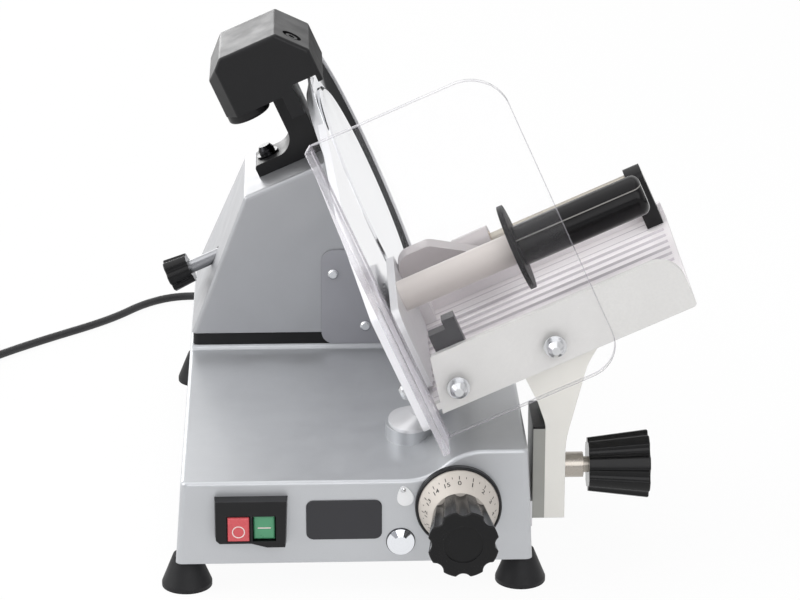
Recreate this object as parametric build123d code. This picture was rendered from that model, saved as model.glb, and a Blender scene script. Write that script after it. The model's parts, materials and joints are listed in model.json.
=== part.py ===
from build123d import *
import os
from math import atan2, ceil, cos, degrees, dist, pi, radians, sin, sqrt, tan

# Frame: X to the right, Y away from the operator, Z up, origin on the table under the middle of the base.
# Lengths are millimetres and angles degrees. A setback is a distance behind the front panel.
# Leaning pieces are drawn along n (the blade axis, to the upper right), y and m (up the blade), then tilted.
TILT = 24.0

# Clearances
SEAT = 0.02
RUN = 0.05
GAP = 0.3

# Base casting
BASE_WIDTH = 260.0
BASE_DEPTH = 447.0
UNDERSIDE = 24.5
DECK_HEIGHT = 88.4
PLATEAU_HEIGHT = 111.0
RAMP_START = 37.0
RAMP_END = 94.0
DRAFT_LEFT = 4.9
DRAFT_RIGHT = 3.8
WALL = 5.0
CORNER_RADIUS = 5.0
EDGE_RADIUS = 3.0
BOSS_LENGTH = 10.0
BOSS_WALL = 4.0
PLATE_THICKNESS = 2.0
PLATE_MARGIN = 1.0
LUG_SIZE = 14.0
LUG_HEIGHT = 9.0
LUG_INSET = 45.0
PLATE_SCREW_RADIUS = 2.0
PLATE_SCREW_HEAD = 4.0
PLATE_SCREW_HEAD_HEIGHT = 2.2
PLATE_SCREW_LENGTH = 8.0

# Rubber feet
FOOT_INSET = 7.4
FOOT_SETBACK = 19.0
FOOT_RADIUS = 18.5
FOOT_TOP_RADIUS = 9.8
FOOT_RIM = 3.0
FOOT_BORE = 3.0
FOOT_RECESS = 6.5
FOOT_RECESS_DEPTH = 8.0
FOOT_SCREW_HEAD = 6.0
FOOT_SCREW_HEAD_HEIGHT = 4.0
FOOT_SCREW_LENGTH = 44.0
FOOT_BOSS_RADIUS = 9.0
FOOT_BOSS_HEIGHT = 36.0

# Push-button switch on the front panel
SWITCH_X = -74.4
SWITCH_DROP = 27.9
SWITCH_WIDTH = 53.0
SWITCH_HEIGHT = 34.3
SWITCH_OUT = 9.0
SWITCH_TAPER = 5.0
SWITCH_LOBE = 3.2
SWITCH_LOBE_WIDTH = 14.0
SWITCH_BODY_MARGIN = 1.5
SWITCH_BODY_DEPTH = 26.0
BUTTON_WIDTH = 15.7
BUTTON_HEIGHT = 18.5
BUTTON_PITCH = 18.6
BUTTON_DROP = 4.9
BUTTON_GAP = 0.6
BUTTON_ROOT = 9.0
BUTTON_TRAVEL = 3.0
BUTTON_EDGE = 1.5
STOP_OUT = 10.5
START_OUT = 6.5

# Thickness dial
DIAL_X = 75.6
DIAL_Z = 68.5
DIAL_RING_RADIUS = 31.4
DIAL_RING_BORE = 29.7
DIAL_RING_HEIGHT = 5.0
SCALE_RADIUS = 29.3
SCALE_TOP_RADIUS = 20.2
SCALE_RIM = 4.0
SCALE_WALL = 3.0
SCALE_BACK = 0.4
SCALE_THICKNESS = 3.0
SHAFT_RADIUS = 5.0
SHAFT_OUT = 62.0
DIAL_HUB_RADIUS = 10.0
DIAL_KNOB_BACK = 25.0
DIAL_TURN = 337.5

# Lobed knobs on the dial and on the tray clamp
KNOB_RADIUS = 25.5
KNOB_LENGTH = 45.0
KNOB_BACK_RADIUS = 20.0
KNOB_LOBES = 8
KNOB_FLUTE = 6.5
KNOB_FLUTE_CENTRE = 29.0
KNOB_EDGE = 1.5
KNOB_DISH_RADIUS = 14.0
KNOB_DISH_DEPTH = 1.2

# Gauge mechanism inside the base
GAUGE_TRAVEL = 16.4
CAM_RADIUS = 28.0
CAM_START = 8.0
CAM_SETBACK = 20.0
CAM_THICKNESS = 10.0
CAM_GROOVE_DEPTH = 4.0
CAM_STEPS = 8
PIN_RADIUS = 3.0
PIN_PLAY = 0.3
GAUGE_SETBACK = 85.0
GAUGE_ROD_Z = 68.0
GAUGE_ROD_RADIUS = 6.0
GAUGE_ROD_SPAN = (4.0, 110.0)
HANGER_WIDTH = 8.0
HANGER_HALF_DEPTH = 9.0
HANGER_FLOOR = 58.0
SLIDE_BLOCK_SPAN = (40.0, 74.0)
SLIDE_BLOCK_DEPTH = 28.0
SLIDE_BLOCK_HEIGHT = (57.0, 79.0)
PIN_ARM_WIDTH = 14.0
PIN_ARM_HEIGHT = 13.0
PIN_ARM_FRONT = 37.0

# Gauge plate and its support
STEM_SPAN = (46.0, 57.0)
STEM_DEPTH = 16.0
STEM_TOP = 140.0
STEM_PLAY = 1.0
PAD_RIM = 3.3
PAD_HALF_DEPTH = 22.0
PAD_HEIGHT = 99.0
FOOT_PLATE_MARGIN = 1.0
FOOT_PLATE_HEIGHT = 2.5
FOOT_PLATE_HALF_DEPTH = 24.0
FOOT_CONE_RISE = 6.5
FOOT_CONE_HALF_WIDTH = 8.0
FOOT_CONE_HALF_DEPTH = 13.0
GAUGE_FACE = 103.0
GAUGE_THICKNESS = 6.0
GAUGE_FRONT_SETBACK = 2.0
GAUGE_BOTTOM = 92.0
GAUGE_SHOULDER = 186.0
GAUGE_BROW = 240.7
GAUGE_BROW_SETBACK = 61.0
GAUGE_TOP = 271.5
GAUGE_TOP_REAR = 225.5
GAUGE_ARC_TOP = 262.0
GAUGE_ARC_GAP = 3.5
GAUGE_CORNER = 6.0
GAUGE_BACKING = 7.0
GAUGE_BACKING_DEPTH = 56.0
GAUGE_BACKING_TOP = 150.0
GAUGE_BOLT_RADIUS = 3.0
GAUGE_BOLT_HEAD = 6.0
GAUGE_BOLT_HEAD_HEIGHT = 4.5
GAUGE_BOLT_LENGTH = 11.0
GAUGE_BOLT_SPACING = 36.0
GAUGE_BOLT_M = 103.0

# Carriage slide
SLIDE_ROD_X = 33.8
SLIDE_ROD_Z = 40.3
SLIDE_ROD_RADIUS = 8.0
SLIDE_ROD_CAP = 10.0
SLIDE_ROD_DOME = 3.4
GUIDE_BAR_X = 104.0
GUIDE_BAR_Z = 43.0
GUIDE_BAR_RADIUS = 5.0
GUIDE_BAR_INSET = 3.0
CARRIAGE_SETBACK = 40.0
CARRIAGE_LENGTH = 52.0
CARRIAGE_TRAVEL = 240.0
SLIDER_SPAN = (14.0, 54.0)
SLIDER_HEIGHT = (27.5, 54.0)
NECK_HEIGHT = (33.0, 53.0)
SLOT_PLAY = 1.5
BUSH_WALL = 2.6
BUSH_LENGTH = 15.0
SHOE_LENGTH = 20.0
SIDE_GAP = 2.5
BRACKET_THICKNESS = 8.8
BRACKET_HEIGHT = (39.5, 110.5)
ARM_THICKNESS = 15.0
ARM_LEFT_TOP = 114.0
ARM_RIGHT_TOP = 101.0
ARM_LEAN_LEFT = 6.0
ARM_LEAN_HEIGHT = 18.0
ARM_REACH = 15.0
ARM_REACH_HEIGHT = 60.0
ARM_BEND = 40.0
ARM_BEND_LEFT = 15.0
ARM_HEAD = (176.0, 248.0)
STUD_Z = 71.0
STUD_RADIUS = 5.0
STUD_PLAY = 0.3
STUD_COLLAR = 9.5
STUD_COLLAR_LENGTH = 15.0
STUD_NECK = 6.0
STUD_NECK_LENGTH = 3.5
STUD_GRIP = 22.0
STUD_BITE = 7.0

# Food tray
TRAY_START = 107.5
TRAY_END = 313.0
TRAY_TOP = 106.0
TRAY_FLOOR = 5.0
TRAY_SETBACK = 12.0
TRAY_DEPTH = 190.0
TRAY_WALL = 5.0
TRAY_WALL_TOP = 141.0
TRAY_WALL_LEFT = 114.0
TRAY_WALL_SLANT = 9.0
TRAY_WALL_CORNER = 20.0
TRAY_PAD = 4.0
TRAY_LIP_TOP = 114.0
RIDGE_WIDTH = 6.0
RIDGE_CREST = 3.0
RIDGE_HEIGHT = 1.6
RIDGE_PITCH = 13.5
RIDGE_MARGIN = 24.0
RIDGE_END = 4.0
TRAY_BLOCK_SPAN = (128.0, 150.5)
TRAY_BLOCK_DEPTH = 13.0
TRAY_BLOCK_HEIGHT = (121.0, 154.0)
TRAY_BLOCK_STEP = 9.5
TRAY_BLOCK_STEP_RISE = 7.0
TRAY_BLOCK_EDGE = 1.5

# Hand guard, one bent clear sheet
GUARD_THICKNESS = 5.0
GUARD_START = 105.5
GUARD_END = 250.0
GUARD_BOTTOM = 80.0
GUARD_TOP = 321.5
GUARD_FLANGE_TOP = 318.0
GUARD_FLANGE_SHOULDER = 246.0
GUARD_FLANGE_REACH = 300.0
GUARD_FLANGE = 34.0
GUARD_STANDOFF = 0.1
GUARD_TOP_RADIUS = 30.0
GUARD_BOTTOM_RADIUS = 25.0
GUARD_BOLT_SPAN = (133.0, 208.5)
GUARD_BOLT_M = 113.0
GUARD_BOLT_RADIUS = 3.0
GUARD_BOLT_HEAD = 5.5
GUARD_BOLT_HEAD_HEIGHT = 4.0
GUARD_BOLT_TAIL = 7.0
WASHER_RADIUS = 8.25
WASHER_THICKNESS = 1.5
NUT_RADIUS = 6.2
NUT_HEIGHT = 5.0
NUT_DOME = 4.0

# Pusher on its guide rod
PUSH_ROD_INSET = 17.0
PUSH_ROD_M = 144.0
PUSH_ROD_RADIUS = 6.0
ROD_LUG_SPAN = (110.0, 121.0)
ROD_LUG_HALF = 10.0
ROD_BLOCK_SPAN = (297.0, 310.0)
PUSHER_BUSH_SPAN = (156.0, 185.0)
LINER_WALL = 2.0
PUSHER_BUSH_WALL = 4.5
PUSHER_FACE = 107.5
PUSHER_THICKNESS = 6.0
PUSHER_FRONT_ROOM = 24.0
PUSHER_ROD_ROOM = 17.0
PUSHER_HEIGHT = (109.5, 172.0)
PUSHER_CORNER = 8.0
TOOTH_HEIGHT = 1.8
TOOTH_WIDTH = 3.0
TOOTH_PITCH = 8.0
TOOTH_MARGIN = 14.0
PUSHER_ARM_DEPTH = 17.0
PUSHER_ARM_TURN = 142.0
PUSHER_ARM_CROWN = 12.0
PUSHER_ARM_WEB = 15.0
PUSHER_ARM_LEG = 20.0
HANDLE_OFFSET = 64.0
HANDLE_M = 161.0
SLEEVE_RADIUS = 11.75
SLEEVE_END = 204.0
GRIP_FLANGE_RADIUS = 33.0
GRIP_FLANGE = 4.0
GRIP_RADIUS = 15.5
GRIP_END = 308.0
GRIP_ROUND = 6.0

# Upper housing
HOUSING_LEFT = -123.3
HOUSING_PULLEY_ROOM = 5.5
HOUSING_BACK_SETBACK = 437.0
HEAD_ROOM = 10.0
PEDESTAL = 4.0
GASKET = 10.0
GASKET_INSET = 1.0
GASKET_WIDTH = 8.0
HOUSING_FACE = 86.0
HOUSING_TOP = 229.5
HOUSING_TOP_LEFT = 14.8
HOUSING_TOP_REAR = 377.0
HOUSING_SLOPE_FOOT = 140.0
HOUSING_WALL = 4.0
HOUSING_EDGE = 4.0
WEB_START = 40.0
WEB_THICKNESS = 8.0
DECK_OPENING_MARGIN = 11.0
DEFLECTOR_THICKNESS = 2.0
DEFLECTOR_LEFT = -20.0
DEFLECTOR_LIFT = 4.6
DEFLECTOR_TOP = 172.0
DEFLECTOR_EDGE_GAP = 2.0
DEFLECTOR_CORNER = 10.0
DEFLECTOR_SCREWS = ((-10.5, 152.0), (15.0, 108.0))
DEFLECTOR_SCREW_RADIUS = 2.0
DEFLECTOR_SCREW_HEAD = 4.2
DEFLECTOR_SCREW_HEAD_HEIGHT = 2.4

# Blade, hub and drive
BLADE_SETBACK = 320.0
BLADE_M = 179.0
BLADE_RADIUS = 125.0
BLADE_EDGE = 101.5
BLADE_EDGE_THICKNESS = 0.5
BLADE_SEAT = 88.0
BLADE_THICKNESS = 3.0
BLADE_BORE = 24.0
BLADE_FLAT = 92.0
BLADE_SHOULDER = 100.0
BLADE_SHOULDER_RISE = 5.5
BLADE_SCREWS = 4
BLADE_SCREW_CIRCLE = 31.0
BLADE_SCREW_RADIUS = 2.5
BLADE_SCREW_HEAD = 4.2
BLADE_SCREW_HEAD_HEIGHT = 2.8
BLADE_SCREW_LENGTH = 11.0
TROUGH_RADIUS = 133.0
TROUGH_SPAN = (85.0, 116.0)
SPINDLE_RADIUS = 10.0
SPINDLE_BORE = 5.6
SPINDLE_START = 36.0
SPINDLE_END = 93.5
SPINDLE_FLANGE_RADIUS = 22.0
SPINDLE_FLANGE = 4.0
BEARING_RADIUS = 21.0
BEARING_WIDTH = 12.0
BEARING_STARTS = (56.0, 76.0)
PULLEY_START = 54.0
PULLEY_WIDTH = 20.0
PULLEY_RIM = 2.0
PULLEY_RIM_RISE = 2.5
BLADE_PULLEY_RADIUS = 40.0
HUB_RADIUS = 36.0
MOTOR_PULLEY_RADIUS = 16.0
BELT_THICKNESS = 4.0
BELT_SIDE_GAP = 1.0
MOTOR_SETBACK = 378.0
MOTOR_M = 105.0
MOTOR_RADIUS = 48.0
MOTOR_LENGTH = 90.0
MOTOR_CAP = 8.0
MOTOR_SHAFT_RADIUS = 6.0
MOTOR_SHAFT_DEPTH = 64.0
WEB_TONGUE_MARGIN = 3.0
COVER_RADIUS = 91.0
COVER_BOSS = 14.0
COVER_START = 95.0
COVER_END = 100.5
COVER_RIM = 3.0
COVER_SOCKET = 4.5
COVER_OPENING = 47.0
RING_GAP = 2.3
RING_THICKNESS = 3.2
RING_END = 103.0
RING_PLATE = 2.5
RING_INNER = 97.0
RING_ANGLES = (-128.0, 48.0)
TIE_ROD_RADIUS = 5.2
TIE_ROD_HOLE = 6.5
TIE_KNOB_SPAN = (-76.0, -57.0)
TIE_KNOB_RADIUS = 13.5
TIE_KNOB_BACK_RADIUS = 12.0
TIE_KNOB_FLUTE = 4.0
TIE_KNOB_LOBES = 6
TIE_KNOB_SOCKET = 12.0

# Sharpener
BRACKET_FOOT_SPAN = (28.0, 84.0)
BRACKET_FOOT_THICKNESS = 10.0
BRACKET_SETBACK = (303.0, 340.0)
UPRIGHT_SPAN = (64.0, 84.0)
UPRIGHT_TOP = 300.0
UPRIGHT_FILLET = 15.0
POST_RADIUS = 7.0
POST_TOP = 332.0
HOOD_SETBACK = (270.0, 350.0)
HOOD_LEFT = 28.0
HOOD_RIGHT = 111.0
HOOD_BOTTOM = 291.0
HOOD_TOP = 339.5
HOOD_SHOULDER_LEFT = 16.0
HOOD_SHOULDER_RIGHT = 19.0
HOOD_SHOULDER_DROP = 22.0
HOOD_WALL = 4.0
HOOD_EDGE = 3.0
HOOD_SOCKET = 12.0
HOOD_SOCKET_BOTTOM = 306.0
HOOD_FRONT_NOTCH = (78.0, 297.0)
HOOD_CORNER = (10.0, 14.0)
HOOD_RECESS_SETBACK = 289.0
HOOD_RECESS_RADIUS = 8.0
HOOD_RECESS_DEPTH = 2.6
HOOD_SCREW_HEAD = 5.0
HOOD_SCREW_HEAD_HEIGHT = 2.0
HOOD_SCREW_SOCKET = 2.5
HOOD_REAR_NOTCH = 306.0
HOLDER_SPAN = (76.0, 87.0)
HOLDER_DEPTH = 14.0
HOLDER_BOTTOM = 272.0
STONE_RADIUS = 15.0
STONE_THICKNESS = 8.0
STONE_END = 91.0
STONE_SETBACK = 290.0
STONE_M = 313.0
STONE_AXLE = 3.0
STONE_BEARER = 6.0
DEBURR_RADIUS = 9.0
DEBURR_THICKNESS = 2.4
DEBURR_SETBACK = 330.0
DEBURR_M = 306.5
DEBURR_AXLE = 2.0
DEBURR_SKIN = 1.0
LOCK_KNOB_OFFSET = 42.5
LOCK_KNOB_SETBACK = 310.0
LOCK_KNOB_RADIUS = 17.5
LOCK_KNOB_BOTTOM = 278.0
LOCK_KNOB_EDGE = 2.5
LOCK_STEM_RADIUS = 4.0
LOCK_STEM_LENGTH = 15.0
LOCK_BOSS_RADIUS = 9.0
BRACKET_BOLT_OFFSET = 40.0
BRACKET_BOLT_RADIUS = 4.0
BRACKET_BOLT_HEAD = 6.5
BRACKET_BOLT_HEAD_HEIGHT = 6.5
BRACKET_BOLT_LENGTH = 24.0
BRACKET_WASHER_RADIUS = 9.0

# Mains cord: the route on the table is chosen by hand, the rest is wound into a coil
CORD_RADIUS = 3.5
CORD_ARC_SHARE = 0.45
GLAND_X = -60.0
GLAND_Z = 45.0
GLAND_LENGTH = 38.0
GLAND_NUT_RADIUS = 11.0
GLAND_NUT = 6.0
GLAND_RADIUS = 8.0
GLAND_TIP_RADIUS = 5.2
CORD_ROUTE = (
    (-60.0, 261.5, 45.0),
    (-60.0, 295.0, 44.0),
    (-62.0, 329.0, 33.0),
    (-68.0, 361.0, 15.0),
    (-86.0, 388.0, 4.6),
    (-118.0, 402.0, 3.5),
    (-151.0, 402.0, 3.5),
    (-178.0, 383.0, 3.5),
    (-199.0, 353.0, 3.5),
    (-222.0, 329.0, 3.5),
    (-249.0, 306.0, 3.5),
    (-275.0, 281.0, 4.0),
    (-299.0, 255.0, 4.8),
    (-320.0, 229.5, 4.8),
)
COIL_RADIUS = 38.5
COIL_STEP = 7.7
COIL_LAYER_TURNS = 2.25
COIL_CLIMB = 0.5
COIL_TAIL = 52.0
TIE_THICKNESS = 1.0
TIE_WIDTH = 12.0
TIE_GAP = 0.3
TIE_TURN = 0.75
PLUG_RADIUS = 17.0
PLUG_LENGTH = 44.0
PLUG_NECK_RADIUS = 6.0
PLUG_NECK = 12.0
PLUG_PIN_RADIUS = 2.4
PLUG_PIN_LENGTH = 19.0
PLUG_PIN_SPACING = 19.0

# Places worked out from the sizes above
FRONT = -BASE_DEPTH / 2
REAR = BASE_DEPTH / 2
HEAD = REAR - HEAD_ROOM - HOUSING_BACK_SETBACK
COS = cos(radians(TILT))
SIN = sin(radians(TILT))
SWITCH_Z = DECK_HEIGHT - SWITCH_DROP
BUTTON_Z = SWITCH_Z - BUTTON_DROP
HOUSING_FLOOR = DECK_HEIGHT + PEDESTAL + GASKET
DEFLECTOR_HEIGHT = (DECK_HEIGHT + DEFLECTOR_LIFT, DEFLECTOR_TOP)
BLADE_Y = HEAD + BLADE_SETBACK
PULLEY_FRONT = BLADE_Y - BLADE_PULLEY_RADIUS - PULLEY_RIM_RISE
HOUSING_FRONT = PULLEY_FRONT - HOUSING_PULLEY_ROOM - HOUSING_WALL
HOUSING_BACK = HEAD + HOUSING_BACK_SETBACK
MOTOR_Y = HEAD + MOTOR_SETBACK
GAUGE_Y = FRONT + GAUGE_SETBACK
STEM_SLOT = (STEM_SPAN[0] - GAUGE_TRAVEL - STEM_PLAY, STEM_SPAN[1] + STEM_PLAY)
FOOT_PLATE_X = (STEM_SLOT[0] + STEM_SLOT[1]) / 2
STEM_SLOT_HALF = (STEM_SLOT[1] - STEM_SLOT[0]) / 2
CARRIAGE_FRONT = FRONT + CARRIAGE_SETBACK
CARRIAGE_BACK = CARRIAGE_FRONT + CARRIAGE_LENGTH
CARRIAGE_MIDDLE = CARRIAGE_FRONT + CARRIAGE_LENGTH / 2
BRACKET_LEFT = BASE_WIDTH / 2 + SIDE_GAP
ARM_LEFT = BRACKET_LEFT + BRACKET_THICKNESS
ARM_RIGHT = ARM_LEFT + ARM_THICKNESS
TRAY_FRONT = FRONT + TRAY_SETBACK
TRAY_BACK = TRAY_FRONT + TRAY_DEPTH
TRAY_UNDERSIDE = TRAY_TOP - TRAY_FLOOR
PUSH_ROD_Y = TRAY_BACK - PUSH_ROD_INSET
PUSHER_Y = (TRAY_FRONT + PUSHER_FRONT_ROOM, PUSH_ROD_Y - PUSHER_ROD_ROOM)
HANDLE_Y = PUSHER_Y[0] + HANDLE_OFFSET
PIN_X = DIAL_X - CAM_START


def block(x, y, z):
    """Box between low and high values along each axis."""
    spans = (x, y, z)
    centre = [(low + high) / 2 for low, high in spans]
    sizes = [high - low for low, high in spans]
    return Pos(*centre) * Box(*sizes)


def bar_x(radius, x, y, z):
    return Pos((x[0] + x[1]) / 2, y, z) * Rot(0, 90, 0) * Cylinder(radius, x[1] - x[0])


def bar_y(radius, x, y, z):
    return Pos(x, (y[0] + y[1]) / 2, z) * Rot(90, 0, 0) * Cylinder(radius, y[1] - y[0])


def bar_z(radius, x, y, z):
    return Pos(x, y, (z[0] + z[1]) / 2) * Cylinder(radius, z[1] - z[0])


def turned(points):
    """Solid of revolution about X from (along, radius) points."""
    return revolve(make_face(Polyline(*points, close=True)), Axis.X)


def tube(inner, outer, span):
    return turned([(span[0], inner), (span[0], outer), (span[1], outer), (span[1], inner)])


def profile(points):
    return make_face(Polyline(*points, close=True))


def along_y(face, y):
    """Extrude an (x, z) face between two y values."""
    return Pos(0, y[1], 0) * extrude(Plane.XZ * face, y[1] - y[0])


def along_x(face, x):
    """Extrude a (y, z) face between two x values."""
    return Pos(x[0], 0, 0) * extrude(Plane.YZ * face, x[1] - x[0])


def tilted(shape):
    return Rot(0, -TILT, 0) * shape


def on_blade(shape):
    """Place a piece turned about X on the leaning blade axis."""
    return tilted(Pos(0, BLADE_Y, BLADE_M) * shape)


def on_motor(shape):
    return tilted(Pos(0, MOTOR_Y, MOTOR_M) * shape)


def on_panel(shape, x, z):
    """Place a piece drawn along X so that it points out of the front panel."""
    return Pos(x, FRONT, z) * Rot(0, 0, -90) * shape


def upright(shape):
    """Turn a piece drawn along X to point up."""
    return Rot(0, -90, 0) * shape


def leaned(n, m):
    """World x and z of a point given along n and m."""
    return (n * COS - m * SIN, n * SIN + m * COS)


def face_x(n, z):
    """World x of the leaning plane n at height z."""
    return (n - z * SIN) / COS


def span_y(span):
    return (HEAD + span[0], HEAD + span[1])


def about(centre, size):
    return (centre - size / 2, centre + size / 2)


def screw(head_radius, head_height, shank_radius, shank_length):
    """Screw along X: its head seat is at 0 and its head points to +X."""
    return turned([
        (-shank_length, 0), (-shank_length, shank_radius), (0, shank_radius), (0, head_radius),
        (head_height / 2, head_radius), (head_height, head_radius * 0.7), (head_height, 0),
    ])


def rounded(points, radii):
    """Polygon face with a radius of its own at each corner, 0 for a sharp one."""
    return make_face(FilletPolyline(*points, radius=list(radii), close=True))


def oval(half_width, half_depth, z):
    return Pos(0, 0, z[0]) * extrude(Ellipse(half_width, half_depth), z[1] - z[0])


def lobed_knob(radius, back_radius, length, lobes, flute, flute_centre):
    """Knob along X with its small end at 0 and its flat face at its length."""
    outline = Circle(radius) - PolarLocations(flute_centre, lobes) * Circle(flute)
    outline = fillet(outline.vertices(), KNOB_EDGE)
    small = Pos(0, 0, length) * scale(outline, by=back_radius / radius)
    body = loft([outline, small], ruled=True)
    body = chamfer(body.faces().sort_by(Axis.Z)[0].edges(), KNOB_EDGE / 2)
    return Pos(length, 0, 0) * Rot(0, -90, 0) * body


# Base


def base_face(inset, floor):
    """Front outline of the base, drawn in by a wall on the sides and top."""
    left = -BASE_WIDTH / 2 + inset
    right = BASE_WIDTH / 2 - inset
    low = (RAMP_START, DECK_HEIGHT - inset)
    high = (RAMP_END, PLATEAU_HEIGHT - inset)
    middle = ((low[0] + high[0]) / 2, (low[1] + high[1]) / 2)
    sides = Polyline(low, (left + DRAFT_LEFT, low[1]), (left, floor), (right, floor),
                     (right - DRAFT_RIGHT, high[1]), high)
    upper = TangentArc(high, middle, tangent=(-1, 0))
    lower = TangentArc(low, middle, tangent=(1, 0))
    return make_face([*sides.edges(), upper, lower])


def on_rim(edge):
    """True for the outer top edges of the plain base block."""
    centre = edge.center()
    margin = 2 * CORNER_RADIUS
    at_end = abs(centre.Y) > BASE_DEPTH / 2 - CORNER_RADIUS
    at_side = abs(centre.X) > BASE_WIDTH / 2 - margin
    return centre.Z > DECK_HEIGHT - EDGE_RADIUS and (at_end or at_side)


def base_block():
    body = extrude(Plane.XZ * base_face(0.0, UNDERSIDE), BASE_DEPTH / 2, both=True)
    corners = body.edges().filter_by(lambda edge: edge.bounding_box().size.Z > PLATEAU_HEIGHT - DECK_HEIGHT)
    body = fillet(corners, CORNER_RADIUS)
    return fillet(body.edges().filter_by(on_rim), EDGE_RADIUS)


def trough(grow):
    """Space in the base for the lower part of the blade."""
    span = (TROUGH_SPAN[0] - grow, TROUGH_SPAN[1] + grow)
    return on_blade(turned([(span[0], 0), (span[0], TROUGH_RADIUS + grow), (span[1], TROUGH_RADIUS + grow),
                            (span[1], 0)]))


def pedestal():
    """Raised seat of the upper housing with a hollow round along its front."""
    span = (HOUSING_LEFT, face_x(HOUSING_FACE, HOUSING_FLOOR))
    top = DECK_HEIGHT + PEDESTAL
    start = (HOUSING_FRONT - PEDESTAL, DECK_HEIGHT)
    cove = [
        TangentArc(start, (HOUSING_FRONT, top), tangent=(1, 0)),
        Polyline((HOUSING_FRONT, top), (HOUSING_BACK, top), (HOUSING_BACK, DECK_HEIGHT - WALL),
                 (start[0], DECK_HEIGHT - WALL), start),
    ]
    return along_x(make_face(cove), span)


def foot_places():
    front = FRONT + FOOT_SETBACK
    x = BASE_WIDTH / 2 - FOOT_INSET
    return [(side, y) for side in (-x, x) for y in (front, -front)]


def lug_places():
    x = BASE_WIDTH / 2 - LUG_INSET
    y = REAR - WALL - LUG_SIZE / 2
    return [(side, end) for side in (-x, x) for end in (-y, y)]


def base_bosses():
    """Bosses and lugs on the inner faces of the base walls."""
    front = (FRONT + WALL / 2, FRONT + WALL + BOSS_LENGTH)
    rear = (-front[1], -front[0])
    rods = [
        (SLIDE_ROD_X, SLIDE_ROD_Z, SLIDE_ROD_RADIUS),
        (GUIDE_BAR_X, GUIDE_BAR_Z, GUIDE_BAR_RADIUS),
    ]
    pieces = []
    for x, z, radius in rods:
        pieces += [bar_y(radius + BOSS_WALL, x, span, z) for span in (front, rear)]
    pieces.append(bar_y(SHAFT_RADIUS + BOSS_WALL, DIAL_X, front, DIAL_Z))
    hanger_y = about(GAUGE_Y, 2 * HANGER_HALF_DEPTH)
    left = (GAUGE_ROD_SPAN[0], GAUGE_ROD_SPAN[0] + HANGER_WIDTH)
    right = (GAUGE_ROD_SPAN[1] - HANGER_WIDTH, GAUGE_ROD_SPAN[1])
    pieces.append(block(left, hanger_y, (HANGER_FLOOR, DECK_HEIGHT - WALL / 2)))
    pieces.append(block(right, hanger_y, (HANGER_FLOOR, PLATEAU_HEIGHT - WALL / 2)))
    floor = UNDERSIDE + PLATE_THICKNESS
    for x, y in lug_places():
        reach = (y - LUG_SIZE / 2, y + LUG_SIZE / 2 + WALL / 2)
        if y < 0:
            reach = (y - LUG_SIZE / 2 - WALL / 2, y + LUG_SIZE / 2)
        pieces.append(block(about(x, LUG_SIZE), reach, (floor, floor + LUG_HEIGHT)))
    return pieces


def slide_slot():
    """Slot in the right wall for the neck of the slider over its whole travel."""
    y = (CARRIAGE_FRONT - SLOT_PLAY, CARRIAGE_BACK + CARRIAGE_TRAVEL + SLOT_PLAY)
    z = (NECK_HEIGHT[0] - SLOT_PLAY, NECK_HEIGHT[1] + SLOT_PLAY)
    return block((BASE_WIDTH / 2 - 3 * WALL, BASE_WIDTH / 2 + WALL), y, z)


def stem_slot():
    """Slot in the pad for the gauge stem over its whole travel."""
    y = about(GAUGE_Y, STEM_DEPTH + 2 * STEM_PLAY)
    return block(STEM_SLOT, y, (DECK_HEIGHT - 2 * WALL, PAD_HEIGHT + WALL))


def switch_cutout(clearance):
    width = SWITCH_WIDTH - 2 * SWITCH_BODY_MARGIN + 2 * clearance
    height = SWITCH_HEIGHT - 2 * SWITCH_BODY_MARGIN + 2 * clearance
    return about(SWITCH_X, width), about(SWITCH_Z, height)


def deck_opening():
    """Opening in the deck under the housing for the motor and its web."""
    x = (HOUSING_LEFT + DECK_OPENING_MARGIN, face_x(HOUSING_FACE, HOUSING_FLOOR) - DECK_OPENING_MARGIN)
    y = (HOUSING_FRONT + DECK_OPENING_MARGIN, HOUSING_BACK - GASKET_INSET - GASKET_WIDTH)
    return block(x, y, (DECK_HEIGHT - 2 * WALL, DECK_HEIGHT + 2 * PEDESTAL))


def base_bores():
    """Holes in the base walls, deck and bosses."""
    through = (FRONT - WALL, FRONT + 2 * WALL + BOSS_LENGTH)
    guide = (FRONT + GUIDE_BAR_INSET, REAR - GUIDE_BAR_INSET)
    switch_x, switch_z = switch_cutout(SEAT)
    cam = (FRONT + WALL + BOSS_LENGTH, FRONT + CAM_SETBACK + CAM_THICKNESS + PIN_RADIUS)
    cuts = [
        slide_slot(),
        stem_slot(),
        deck_opening(),
        block(switch_x, (FRONT - WALL, FRONT + 2 * WALL), switch_z),
        bar_y(SHAFT_RADIUS + RUN, DIAL_X, through, DIAL_Z),
        bar_y(CAM_RADIUS + PEDESTAL / 2, DIAL_X, cam, DIAL_Z),
        bar_y(SLIDE_ROD_RADIUS + SEAT, SLIDE_ROD_X, (FRONT - WALL, REAR - GUIDE_BAR_INSET), SLIDE_ROD_Z),
        bar_y(GUIDE_BAR_RADIUS + SEAT, GUIDE_BAR_X, guide, GUIDE_BAR_Z),
        bar_x(GAUGE_ROD_RADIUS + SEAT, GAUGE_ROD_SPAN, GAUGE_Y, GAUGE_ROD_Z),
        bar_y(GLAND_RADIUS + SEAT, GLAND_X, (REAR - 2 * WALL, REAR + WALL), GLAND_Z),
    ]
    for x, y in foot_places():
        cuts.append(bar_z(FOOT_BORE - RUN, x, y, (UNDERSIDE, FOOT_RECESS_DEPTH + FOOT_SCREW_LENGTH)))
    for x, y in lug_places():
        cuts.append(bar_z(PLATE_SCREW_RADIUS + SEAT, x, y, (UNDERSIDE, UNDERSIDE + PLATE_SCREW_LENGTH)))
    return cuts


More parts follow.
